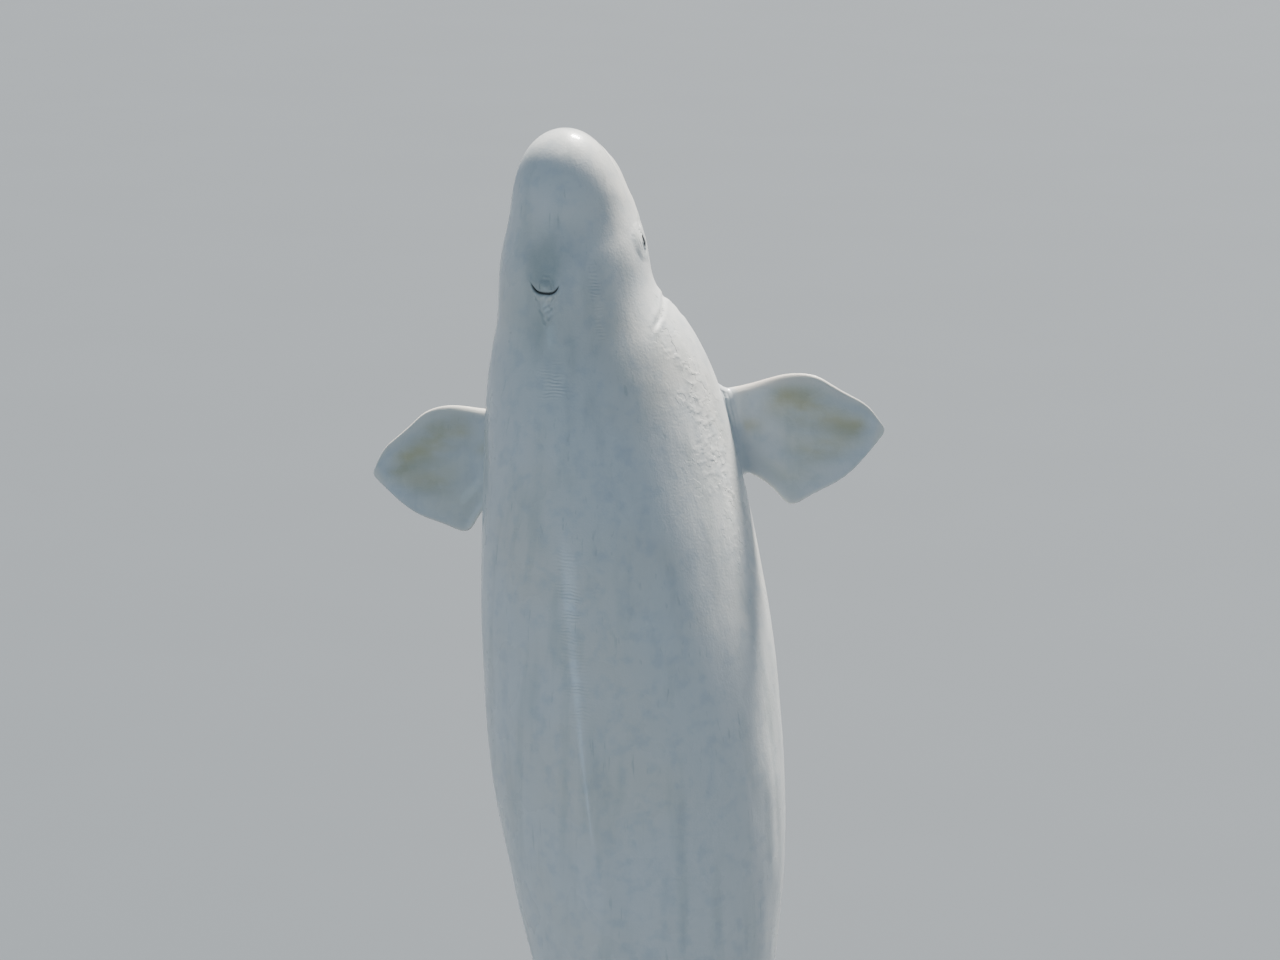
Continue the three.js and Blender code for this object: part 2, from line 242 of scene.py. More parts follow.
@dataclass
class BodyForm:
    """The plain form of the trunk and head at rest."""

    landmarks: tuple[Landmark, ...] = (
        Landmark(0.180, 0.122, 0.130, 0.102, -0.004),
        Landmark(0.340, 0.152, 0.180, 0.146, -0.024),
        Landmark(0.460, 0.224, 0.204, 0.184, -0.078),
        Landmark(0.620, 0.290, 0.228, 0.246, -0.116),
        Landmark(0.800, 0.320, 0.260, 0.312, -0.112),
        Landmark(1.130, 0.360, 0.304, 0.358, -0.084),
        Landmark(1.480, 0.380, 0.328, 0.368, -0.052),
        Landmark(1.900, 0.348, 0.318, 0.334, -0.024),
        Landmark(2.300, 0.268, 0.272, 0.256, -0.010),
        Landmark(2.700, 0.174, 0.200, 0.172, 0.0),
        Landmark(3.100, 0.094, 0.138, 0.118, 0.0),
        Landmark(3.400, 0.046, 0.098, 0.086, 0.0),
    )
    skull: Oval = Oval((0.392, 0.0, 0.008), (0.320, 0.192, 0.198), 0.040)
    melon: Oval = Oval((0.143, 0.0, 0.096), (0.143, 0.122, 0.110), 0.080)
    upper_jaw: Oval = Oval((0.170, 0.0, -0.012), (0.158, 0.109, 0.046), 0.024)
    lower_jaw: Oval = Oval((0.188, 0.0, -0.072), (0.164, 0.106, 0.054), 0.042)
    head_centre: Pair = (0.290, 0.015)
    crown_tilt: float = 0.3
    cap_softness: float = 0.040
    settled: float = 0.900
    farthest: float = 0.6

    def __post_init__(self) -> None:
        """Draws the splines through the landmarks."""
        places = [mark.along for mark in self.landmarks]
        self.half_width = Spline(places, [mark.wide for mark in self.landmarks])
        self.back = Spline(places, [mark.back for mark in self.landmarks])
        self.belly = Spline(places, [mark.belly for mark in self.landmarks])
        self.level = Spline(places, [mark.level for mark in self.landmarks])

    @property
    def head_end(self) -> float:
        """Where the head's fan of lines ends and the trunk's rings begin."""
        return self.head_centre[0]

    @property
    def tail_end(self) -> float:
        """Where the trunk ends and the flukes begin."""
        return self.landmarks[-1].along

    def gap(self, points: Array) -> Array:
        """Says about how far points lie outside the body, less than zero inside it."""
        along, across, up = points[..., 0], points[..., 1], points[..., 2]
        first = self.landmarks[0].along
        inside = np.maximum(along, first)
        level = self.level(inside)
        half = np.where(up > level, self.back(inside) - level, self.belly(inside) + level)
        halves = np.stack([self.half_width(inside), half], -1)
        ahead = inside - along
        gap = oval_gap(np.stack([across, up - level], -1), halves) + ahead**2 / (ahead + self.cap_softness)
        for form in (self.skull, self.melon, self.upper_jaw, self.lower_jaw):
            outside = oval_gap(points - np.array(form.centre), np.array(form.half))
            gap = joined(gap, outside, form.blend)
        return gap

    def reach(self, starts: Array, ways: Array) -> Array:
        """Finds where straight lines leave the body.

        Args:
            starts: Points inside, one a line.
            ways: The lines' directions, of length 1.

        Returns:
            The points on the body's surface.
        """
        shape = ways.shape[:-1]
        inside, _ = closed_in(
            lambda far: self.gap(starts + ways * far[..., None]) < 0,
            np.zeros(shape),
            np.full(shape, self.farthest),
        )
        return starts + ways * inside[..., None]

    def middle(self, along: Array) -> Array:
        """Gives the height from which a ring of the trunk is drawn."""
        return mixed(self.head_centre[1], self.level(along), self.settling(along))

    def settling(self, along: Array) -> Array:
        """Says how far the rings have gone over from the head's round fan to the trunk's ovals."""
        return ease(along, self.head_end, self.settled)

    def slim(self, along: Array, topside: Array) -> Array:
        """Says how much narrower than high the lines of a ring are spread, above or below its middle."""
        middle = self.middle(along)
        half = np.where(topside, self.back(along) - middle, self.belly(along) + middle)
        return mixed(1.0, self.half_width(along) / half, self.settling(along))

    def head_points(self, share: Array, turn: Array) -> Array:
        """Gives points on the head, by how far back they are from its crown and how far round."""
        lean = share * math.pi / 2
        ways = np.stack(
            [
                -np.cos(lean),
                np.sin(lean) * np.sin(turn),
                np.sin(lean) * np.cos(turn) + self.crown_tilt * np.cos(lean),
            ],
            -1,
        )
        start = np.array([self.head_centre[0], 0.0, self.head_centre[1]])
        return self.reach(np.broadcast_to(start, ways.shape), unit(ways))

    def trunk_points(self, along: Array, turn: Array) -> Array:
        """Gives points on the trunk, by their place along it and their turn from the back to the right."""
        slim = self.slim(along, np.cos(turn) > 0)
        ways = unit(np.stack([np.zeros_like(along), slim * np.sin(turn), np.cos(turn)], -1))
        starts = np.stack([along, np.zeros_like(along), self.middle(along)], -1)
        return self.reach(starts, ways)

    def trunk_turn(self, points: Array) -> Array:
        """Gives the turn of points on the trunk, as trunk_points takes it, from -180 to 180 degrees."""
        height = points[..., 2] - self.middle(points[..., 0])
        return np.arctan2(points[..., 1] / self.slim(points[..., 0], height > 0), height)

    def settle(self, points: Array) -> Array:
        """Puts points that lie close to the head and trunk back onto their surface."""
        along = points[:, 0]
        head = along < self.head_end
        starts = np.stack([along, np.zeros_like(along), self.middle(along)], -1)
        starts[head] = self.head_centre[0], 0.0, self.head_centre[1]
        return self.reach(starts, unit(points - starts))

    def normals(self, points: Array) -> Array:
        """Gives the directions in which the body's gap grows."""
        step = 1e-4
        slopes = []
        for axis in np.eye(3) * step:
            slopes.append(self.gap(points + axis) - self.gap(points - axis))
        return unit(np.stack(slopes, -1))


@dataclass(frozen=True)
class Bend:
    """A stretch of the axis that bends, in degrees, to the back and to the left."""

    start: float
    end: float
    back: float
    left: float


@dataclass
class Pose:
    """How the body's axis lies: the whale stands up, its head leans and its tail is raised behind it."""

    forward: float = 14.0
    left: float = 3.4
    neck: Bend = Bend(0.240, 0.560, 9.0, 6.2)
    shoulders: Bend = Bend(0.600, 0.900, 0.0, -0.5)
    lower_back: Bend = Bend(1.450, 3.350, -27.0, 0.0)
    flukes: Bend = Bend(3.350, 3.650, 10.0, 0.0)
    balance_along: float = 1.480
    balance: Pair = (-0.110, 0.130)
    snout_height: float = 3.700
    length: float = 4.000
    step: float = 0.010

    def __post_init__(self) -> None:
        """Adds up the axis from short steps."""
        self.places = np.arange(0.0, self.length + self.step, self.step)
        steps = self.axes(self.places[:-1] + self.step / 2)[0] * self.step
        self.spine = np.vstack([np.zeros(3), np.cumsum(steps, axis=0)])
        under = self.spine_at(np.array([self.balance_along]))[0]
        self.spine += np.array([*self.balance, self.snout_height]) - np.array([*under[:2], 0.0])

    def axes(self, along: Array) -> tuple[Array, Array, Array]:
        """Gives the axis's own directions at places along it: to the tail, to the right and to the back."""
        lean = np.full(np.shape(along), -self.forward)
        side = np.full(np.shape(along), self.left)
        for bend in (self.neck, self.shoulders, self.lower_back, self.flukes):
            share = ease(along, bend.start, bend.end)
            lean = lean + bend.back * share
            side = side + bend.left * share
        lean = np.radians(lean)
        side = np.radians(side)
        tailward = np.stack([np.sin(side), np.cos(side) * np.sin(lean), -np.cos(side) * np.cos(lean)], -1)
        up = np.stack([np.zeros_like(lean), -np.cos(lean), -np.sin(lean)], -1)
        return tailward, np.cross(up, tailward), up

    def spine_at(self, along: Array) -> Array:
        """Gives points on the axis, which goes straight on ahead of the snout."""
        inside = np.clip(along, 0.0, self.places[-1])
        points = np.stack([np.interp(inside, self.places, self.spine[:, i]) for i in range(3)], -1)
        return points + (along - inside)[..., None] * self.axes(np.zeros_like(along))[0]

    def place(self, points: Array) -> Array:
        """Carries points from their place at rest to where the pose puts them."""
        _, across, up = self.axes(points[..., 0])
        return self.spine_at(points[..., 0]) + across * points[..., 1:2] + up * points[..., 2:3]


@dataclass
class Flukes:
    """The tail's blades, which open out from the end of the trunk."""

    form: BodyForm
    half_span: float = 0.432
    tip_along: float = 3.692
    sweep_power: float = 1.45
    lobe: float = 0.074
    lobe_power: float = 0.72
    blade_half: float = 0.017
    edge_half: float = 0.0015
    blade_power: float = 1.5
    blade_opening: float = 4.0
    stock_half_width: float = 0.052
    stock_flare: float = 3.0
    stock_flare_to: float = 0.35
    keel_flow: float = 1.64
    keel_narrowing: float = 5.0
    closed_from: float = 0.999
    droop: float = 0.026

    def points(self, share: Array, turn: Array) -> Array:
        """Gives points on the flukes, by how far out they are and their turn from the back to the right."""
        stock = self.form.landmarks[-1]
        opening = np.sin(math.pi / 2 * share**self.sweep_power)
        side = np.sin(turn)
        facing = np.cos(turn)
        across = side * mixed(stock.wide, self.half_span, opening)
        lobe = self.lobe * np.sin(math.pi * np.abs(side) ** self.lobe_power).clip(0) ** self.lobe_power
        along = mixed(stock.along, self.tip_along, share) + lobe * share * share
        blade = mixed(self.blade_half, self.edge_half, share**self.blade_power)
        blade = blade * np.minimum(1, share * self.blade_opening)
        stock_half = np.where(facing > 0, stock.back, stock.belly)
        spread = self.stock_half_width * (1 + self.stock_flare * np.maximum(0, self.stock_flare_to - share))
        keel = stock_half * (1 - share) ** 2 * (1 + self.keel_flow * share)
        keel = keel * np.exp(-((across / spread) ** 2) * np.minimum(1, share * self.keel_narrowing))
        closing = np.where(share > self.closed_from, 0.0, 1.0)
        bend = -self.droop * (across / self.half_span) ** 2 * share
        return np.stack([along, across, bend + facing * (blade + keel) * closing], -1)


class Side(Enum):
    """The whale's two sides, with the way across that each lies."""

    RIGHT = 1
    LEFT = -1

    @property
    def word(self) -> str:
        """The side's name as the nodes have it."""
        return self.name.lower()


@dataclass(frozen=True)
class Station:
    """The flipper's section at one place out along it."""

    out: float
    middle: float
    half_chord: float
    half_thick: float


@dataclass
class Flipper:
    """One flipper, in its own axes: out along the span, back along the chord, and up."""

    side: Side
    pose: Pose
    root_along: float = 0.663
    root_across: float = 0.215
    root_up: float = -0.175
    span: float = 0.516
    stations: tuple[Station, ...] = (
        Station(0.0, 0.112, 0.076, 0.040),
        Station(0.3, 0.085, 0.109, 0.030),
        Station(0.46, 0.072, 0.142, 0.023),
        Station(0.54, 0.0765, 0.1615, 0.0195),
        Station(0.63, 0.0875, 0.180, 0.016),
        Station(0.71, 0.0785, 0.166, 0.0138),
        Station(0.82, 0.062, 0.150, 0.011),
        Station(0.92, 0.0395, 0.124, 0.009),
        Station(1.0, 0.016, 0.062, 0.007),
    )
    tip_power: float = 4.0
    trailing_thin: float = 0.62
    curl: float = 0.026
    fingers: Wave = Wave(0.0016, 15.0)
    finger_slant: float = 0.25
    finger_margin: float = 0.02
    finger_stretch: Stretch = Stretch(0.30, 0.55, 0.85, 1.0)
    farthest_exit: float = 0.7
    front_rim: Swell = Swell(1.0, 0.16, 1.0)
    back_rim: Swell = Swell(0.7, 0.05, -1.0)
    tip_rim_from: float = 0.93
    long_stain: Swell = Swell(1.0, 0.15, 0.23)
    long_stain_stretch: Stretch = Stretch(0.32, 0.50, 0.84, 0.97)
    long_stain_drift: float = 0.12
    drift_from: float = 0.6
    stains: tuple[tuple[Swell, Swell], ...] = (
        (Swell(0.7, 0.14, 0.56), Swell(1.0, 0.18, 0.72)),
        (Swell(0.5, 0.08, 0.50), Swell(1.0, 0.06, 0.34)),
        (Swell(0.35, 0.12, 0.85), Swell(1.0, 0.13, 0.60)),
    )  # each over the blade's breadth and out along it
    twist: float = 6.0
    sweeps: dict[Side, float] = field(default_factory=lambda: {Side.RIGHT: 20.0, Side.LEFT: 17.5})
    raises: dict[Side, float] = field(default_factory=lambda: {Side.RIGHT: -9.0, Side.LEFT: -4.0})

    def __post_init__(self) -> None:
        """Draws the splines through the stations, and turns the flipper into place."""
        outs = [station.out for station in self.stations]
        self.middle = Spline(outs, [station.middle for station in self.stations])
        self.chord = Spline(outs, [station.half_chord for station in self.stations])
        self.thick = Spline(outs, [station.half_thick for station in self.stations])
        turned = Matrix.Rotation(math.radians(self.sweeps[self.side]), 3, "Z")
        turned = turned @ Matrix.Rotation(math.radians(-self.raises[self.side]), 3, "Y")
        turned = turned @ Matrix.Rotation(math.radians(self.twist), 3, "X")
        self.turned = np.array(turned)

    def own_points(self, out: Array, turn: Array) -> Array:
        """Gives points in the flipper's own axes, by how far out they are and their turn from the front."""
        blunt = np.sqrt(np.maximum(0, 1 - out**self.tip_power))
        back = self.middle(out) - self.chord(out) * blunt * np.cos(turn)
        trailing = (1 - np.cos(turn)) / 2
        thick = self.thick(out) * blunt * (1 - self.trailing_thin * trailing)
        fan = back / (self.chord(out) + self.finger_margin) + self.finger_slant * out
        bones = self.fingers.at(fan) * self.finger_stretch.share(out) * (1 - np.abs(np.cos(turn)) ** 3)
        return np.stack([out * self.span, back, np.sin(turn) * thick + self.curl * out * out + bones], -1)

    def rim(self, out: Array, turn: Array) -> Array:
        """Gives 1 along the thick front edge and the tip, and less along the back edge, for the cream rim
        that is partly a painted highlight.
        """
        edges = np.maximum(self.front_rim.at(np.cos(turn)), self.back_rim.at(np.cos(turn)))
        return np.maximum(edges, ease(out, self.tip_rim_from, 1.0))

    def stain(self, out: Array, turn: Array) -> Array:
        """Gives the olive band along the blade, and the spots over its middle and back corner."""
        breadth = (1 - np.cos(turn)) / 2
        drift = self.long_stain_drift * ease(out, self.drift_from, 1.0)
        total = self.long_stain.at(breadth - drift) * self.long_stain_stretch.share(out)
        for crosswise, lengthwise in self.stains:
            total = total + crosswise.at(breadth) * lengthwise.at(out)
        return total

    def rest_points(self, out: Array, turn: Array) -> Array:
        """Gives the same points as (along, across, up)."""
        outward, tailward, up = np.moveaxis(self.own_points(out, turn) @ self.turned.T, -1, 0)
        across = self.side.value * (self.root_across + outward)
        return np.stack([self.root_along + tailward, across, self.root_up + up], -1)

    def posed(self, points: Array) -> Array:
        """Carries points on the flipper into the pose, stiffly with the place where its root is."""
        root = np.full(points.shape[:-1], self.root_along)
        tailward, across, up = self.pose.axes(root)
        placed = self.pose.spine_at(root) + tailward * (points[..., 0:1] - self.root_along)
        return placed + across * points[..., 1:2] + up * points[..., 2:3]

    def leaves_body(self, form: BodyForm, turn: Array) -> Array:
        """Finds how far out each line along the flipper comes out of the body."""
        _, outside = closed_in(
            lambda out: form.gap(self.rest_points(out, turn)) < 0,
            np.zeros_like(turn),
            np.full_like(turn, self.farthest_exit),
        )
        return outside


@dataclass
class Mouth:
    """The line where the lips meet, seen from the side, and the lips along it."""

    tip: float = -0.036
    dip: float = -0.050
    corner: float = -0.018
    corner_along: float = 0.214
    smile_past: float = 0.026
    smile_rise: float = 0.018
    bends: Pair = (0.35, 0.72)
    bend_drop: float = 0.006
    fade_before: float = 0.004
    groove: Swell = Swell(-0.0065, 0.0024)
    least_groove: float = 0.25
    upper_lip: Swell = Swell(0.0022, 0.00825, 0.011)
    lower_lip: Swell = Swell(0.00154, 0.0077, -0.011)
    under_lip: Swell = Swell(-0.0022, 0.014, -0.034)
    under_lip_fades: Pair = (0.20, 0.08)
    dimple: Swell = Swell(-0.003, 0.013)
    dimple_past: float = 0.012

    def __post_init__(self) -> None:
        """Draws the line of the mouth."""
        bends = [bend * self.corner_along for bend in self.bends]
        places = [0.0, *bends, self.corner_along, self.corner_along + self.smile_past]
        rising = (self.dip + self.corner) / 2 - self.bend_drop
        self.line = Spline(places, [self.tip, self.dip, rising, self.corner, self.corner + self.smile_rise])

    def offset(self, points: Array) -> Array:
        """Says how far points lie over the line of the mouth."""
        return points[:, 2] - self.line(points[:, 0])

    def fading(self, points: Array) -> Array:
        """Goes from 1 along the mouth to 0 past its corner."""
        start = self.corner_along - self.fade_before
        return 1 - ease(points[:, 0], start, self.corner_along + self.smile_past)

    def near(self, points: Array, width: float) -> Array:
        """Says which points lie within a width of the mouth."""
        return (points[:, 0] < self.corner_along + self.smile_past) & (np.abs(self.offset(points)) < width)

    def relief(self, points: Array) -> Array:
        """Gives the groove between the lips, the lips' rise and the crease at the corner."""
        offset = self.offset(points)
        fading = self.fading(points)
        groove = self.groove.at(offset) * mixed(self.least_groove, 1.0, fading) * (fading > 0)
        under = self.under_lip.at(offset) * ease(points[:, 0], *self.under_lip_fades)
        lips = self.upper_lip.at(offset) + self.lower_lip.at(offset) + under
        corner = np.hypot(points[:, 0] - self.corner_along - self.dimple_past, offset)
        return groove + lips * fading + self.dimple.at(corner)


@dataclass
class Blowhole:
    """The crescent on the crown, shut, with its ends towards the melon and the plug ahead of it."""

    along: float = 0.406
    across: float = -0.0065
    half_width: float = 0.034
    sag: float = 0.0128
    sag_power: float = 3.4
    sag_to: float = 1.15
    tilt: float = 0.0042
    tilt_to: float = 1.2
    lowest: float = 0.1  # what is round the slit lies higher than this
    relief_lowest: float = 0.08
    ends: Pair = (0.90, 1.22)
    slit: Swell = Swell(-0.0080, 0.0021)
    lip: Swell = Swell(0.0026, 0.0055, 0.0080)
    plug: Swell = Swell(0.0052, 0.0140)
    plug_ahead: float = 0.0145
    plug_narrowing: Pair = (1.1, 0.8)
    arch_ahead: float = 0.010
    arch_across: float = 0.004
    arch_narrowing: float = 1.25
    arch_wave: Wave = Wave(0.0012, 420)
    brim: Swell = Swell(0.0020, 0.0017, 0.0235)
    brim_groove: Swell = Swell(-0.0022, 0.0022, 0.0200)
    brim_ahead: float = 0.008
    sides: tuple[Swell, Swell] = (Swell(0.0018, 0.25, 1.30), Swell(1.0, 0.014))
    hollow: tuple[Swell, Swell] = (Swell(-0.0030, 0.036), Swell(1.0, 0.046, -0.066))
    flanks: tuple[Swell, Swell] = (Swell(0.0012, 0.022, 0.058), Swell(1.0, 0.05, -0.05))
    wet_length: float = 0.070
    wet_half_width: float = 0.0245
    wet_stretch: Stretch = Stretch(-0.006, 0.010, 0.0595, 0.0756)
    wobbles: tuple[Wave, Wave] = (Wave(0.0026, 240), Wave(0.0016, 610, 1))
    wet_groove: Swell = Swell(-0.0028, 0.0019)
    wet_swell: Swell = Swell(0.0018, 0.0028, 0.0045)
    fold_bend: Wave = Wave(0.004, 190)
    fold_slant: float = 0.619
    folds: Wave = Wave(0.0013, 420)
    folded: Swell = Swell(1.0, 0.012, 0.007)
    fine_zone: Pair = (-0.050, 0.085)
    fine_half_width: float = 0.048

    def offsets(self, points: Array) -> tuple[Array, Array]:
        """Gives how far behind the slit points are, and how far across in half widths."""
        share = (points[:, 1] - self.across) / self.half_width
        sag = self.sag * np.minimum(np.abs(share), self.sag_to) ** self.sag_power
        line = self.along - sag + self.tilt * np.clip(share, -self.tilt_to, self.tilt_to)
        return points[:, 0] - line, share

    def near(self, points: Array, width: float) -> Array:
        """Says which points on the back lie within a width of the slit."""
        behind, share = self.offsets(points)
        close = (np.abs(behind) < width) & (np.abs(share) < 1 + width / self.half_width)
        return close & (points[:, 2] > self.lowest)

    def round_about(self, points: Array) -> Array:
        """Says which points on the back lie among the wrinkles behind and ahead of the slit."""
        along = points[:, 0] - self.along
        lengthwise = (along > self.fine_zone[0]) & (along < self.fine_zone[1])
        return (points[:, 2] > self.lowest) & lengthwise & (np.abs(points[:, 1]) < self.fine_half_width)

    def wrinkles(self, points: Array) -> Array:
        """Gives two shallow grooves from the slit's ends that meet behind it, with small folds between."""
        back = points[:, 0] - self.along
        across = points[:, 1] - self.across
        share = back / self.wet_length
        wobble = sum(wave.at(back) for wave in self.wobbles) * np.minimum(1, 2 - 2 * share)
        aside = np.abs(across) - self.wet_half_width * (1 - share) - wobble
        wavy = across + self.fold_bend.at(back)
        folds = self.folds.at(back + self.fold_slant * wavy) * self.folded.at(across)
        return (self.wet_groove.at(aside) + self.wet_swell.at(aside) + folds) * self.wet_stretch.share(back)

    def relief(self, points: Array) -> Array:
        """Gives the slit, the plug and the lips round it, the hollow ahead and the wrinkles behind."""
        behind, share = self.offsets(points)
        along = points[:, 0] - self.along
        across = points[:, 1] - self.across
        ends = 1 - ease(np.abs(share), *self.ends)
        lengthwise, crosswise = self.plug_narrowing
        from_plug = np.hypot((behind + self.plug_ahead) * lengthwise, across * crosswise)
        arch = np.hypot(behind + self.arch_ahead, (across - self.arch_across) * self.arch_narrowing)
        arch = arch + self.arch_wave.at(across)
        brim = (self.brim.at(arch) + self.brim_groove.at(arch)) * (behind < -self.brim_ahead)
        total = (self.slit.at(behind) + self.lip.at(behind)) * ends + self.plug.at(from_plug) + brim
        for (crosswise, lengthwise), over, out in (
            (self.sides, behind, np.abs(share)),
            (self.hollow, along, across),
            (self.flanks, along, np.abs(across)),
        ):
            total = total + crosswise.at(out) * lengthwise.at(over)
        return (total + self.wrinkles(points)) * (points[:, 2] > self.relief_lowest)


@dataclass
class EyeSocket:
    """The opening between the lids on one side, and the folds round it."""

    side: Side
    form: BodyForm
    along: float = 0.278
    up: float = 0.008
    radius: float = 0.022
    proud: float = 0.004
    lid: float = 0.0017
    half_length: float = 0.0150
    half_height: float = 0.0082
    lower_share: float = 0.86
    corner_power: float = 1.6
    tilt: float = -12.0
    reach: float = 0.05
    off_reach: float = 99.0
    lid_blend: float = 0.003
    off_ball: float = -0.01
    mound: Swell = Swell(0.0032, 0.045)
    brow: tuple[Swell, Swell] = (Swell(0.0030, 0.016, 0.026), Swell(1.0, 0.034, -0.004))
    ring_shape: Pair = (0.84, 1.14)
    rings: tuple[tuple[Swell, float], ...] = (
        (Swell(-0.0014, 0.0017, 0.0190), 0.4),
        (Swell(-0.0011, 0.0017, 0.0252), 2.6),
        (Swell(-0.0009, 0.0017, 0.0330), 4.4),
    )  # each with the turn at which it begins
    ring_spread: float = 900.0
    ring_waves: tuple[Wave, Wave] = (Wave(0.0011, 3), Wave(0.0006, 7))
    ring_mean: float = 0.55
    ring_fading: Wave = Wave(0.45, 2)
    rim: Swell = Swell(0.0011, 0.2, 1.28)
    inset: float = 0.0042
    opens: Pair = (0.86, 1.04)
    corner_crease: tuple[Swell, Swell] = (Swell(-0.0016, 0.0016, -0.001), Swell(1.0, 0.006, 0.006))

    def __post_init__(self) -> None:
        """Finds the eyeball's place and the directions round it."""
        start = np.array([[self.along, 0.0, self.up]])
        way = np.array([[0.0, float(self.side.value), 0.0]])
        self.skin_point = self.form.reach(start, way)[0]
        inward = way[0] * (self.radius - self.proud)
        self.centre = self.skin_point - inward
        self.outward = unit(self.form.normals(self.skin_point[None])[0])
        tailward = np.array([1.0, 0.0, 0.0])
        tailward = unit(tailward - self.outward * (tailward @ self.outward))
        upward = np.cross(tailward, self.outward) * -self.side.value
        upward = upward * np.sign(upward[2])
        tilt = math.radians(self.tilt)
        self.length_way = tailward * math.cos(tilt) + upward * math.sin(tilt)
        self.height_way = upward * math.cos(tilt) - tailward * math.sin(tilt)

    def offsets(self, points: Array) -> tuple[Array, Array, Array]:
        """Gives how far points are along the opening, over it, and from its middle, on the eye's own side."""
        from_middle = points - self.skin_point
        length = from_middle @ self.length_way
        height = from_middle @ self.height_way
        elsewhere = np.maximum(np.abs(from_middle @ self.outward) - self.radius, 0.0)
        return length, height, np.hypot(length, height) + 4 * elsewhere

    def near(self, points: Array, width: float) -> Array:
        """Says which points lie within a width of the eye's middle."""
        return self.offsets(points)[2] < width

    def openness(self, points: Array) -> Array:
        """Gives 0 in the middle of the opening, 1 at the rims of the lids and more outside them."""
        length, height, apart = self.offsets(points)
        lengthwise = np.abs(length) / self.half_length
        crosswise = np.abs(height) / (self.half_height * np.where(height > 0, 1.0, self.lower_share))
        inside = np.sqrt(lengthwise**2 + crosswise**self.corner_power)
        return np.where(apart < self.reach, inside, self.off_reach)

    def ring_relief(self, length: Array, height: Array) -> Array:
        """Gives the broken folds that run round the eye."""
        apart = np.hypot(length * self.ring_shape[0], height * self.ring_shape[1])
        around = np.arctan2(height, length)
        broad, fine = self.ring_waves
        total = np.zeros_like(apart)
        for ring, first in self.rings:
            uneven = broad.at(around, ring.place * self.ring_spread) + fine.at(around, first)
            total = total + ring.at(apart + uneven) * (self.ring_mean + self.ring_fading.at(around, first))
        return total

    def relief(self, points: Array) -> Array:
        """Gives the lids over the eyeball, the way in between them, and the folds and brow round them."""
        length, height, apart = self.offsets(points)
        openness = self.openness(points)
        ball = np.sqrt(np.maximum(self.radius**2 - apart**2, 0.0)) - (self.radius - self.proud)
        base = self.mound.at(apart) + self.brow[0].at(height) * self.brow[1].at(length)
        cover = np.where(apart < self.radius, ball + self.lid, self.off_ball)
        lids = -joined(-cover, -base, self.lid_blend)
        surface = lids + self.ring_relief(length, height) + self.rim.at(openness)
        opened = ease(openness, *self.opens)
        crosswise, lengthwise = self.corner_crease
        crease = crosswise.at(height) * lengthwise.at(np.abs(length) - self.half_length)
        return (mixed(ball - self.inset, surface, opened) + crease * opened) * (apart < self.reach)


@dataclass(frozen=True)
class Fold:
    """A crease in the skin that runs round the body from one turn to another, in degrees."""

    along: float
    start: float
    end: float
    slant: float  # how far tailward it has moved at its end
    width: float
    depth: float
    swell: float  # how high the skin swells on each side of it

    def relief(self, along: Array, turn: Array) -> Array:
        """Gives its height at points, by where they are along the body and round it."""
        share = (turn - self.start) / (self.end - self.start)
        open_end = 0.0 if self.end >= 180 else ease(share, 0.72, 1.0)
        offset = along - self.along - self.slant * share
        beside = Swell(self.swell, 1.2 * self.width, 2.1 * self.width).at(np.abs(offset))
        groove = Swell(-self.depth, self.width).at(offset)
        return (beside + groove) * ease(share, 0.0, 0.28) * (1 - open_end)


@dataclass(frozen=True)
class Slit:
    """A lengthwise slit on the midline of the belly."""

    inside: Stretch
    groove: Swell
    lips: Swell = Swell(0.003, 0.009, 0.014)

    def relief(self, along: Array, across: Array) -> Array:
        """Gives its height at points."""
        return self.inside.share(along) * (self.lips.at(np.abs(across)) + self.groove.at(across))


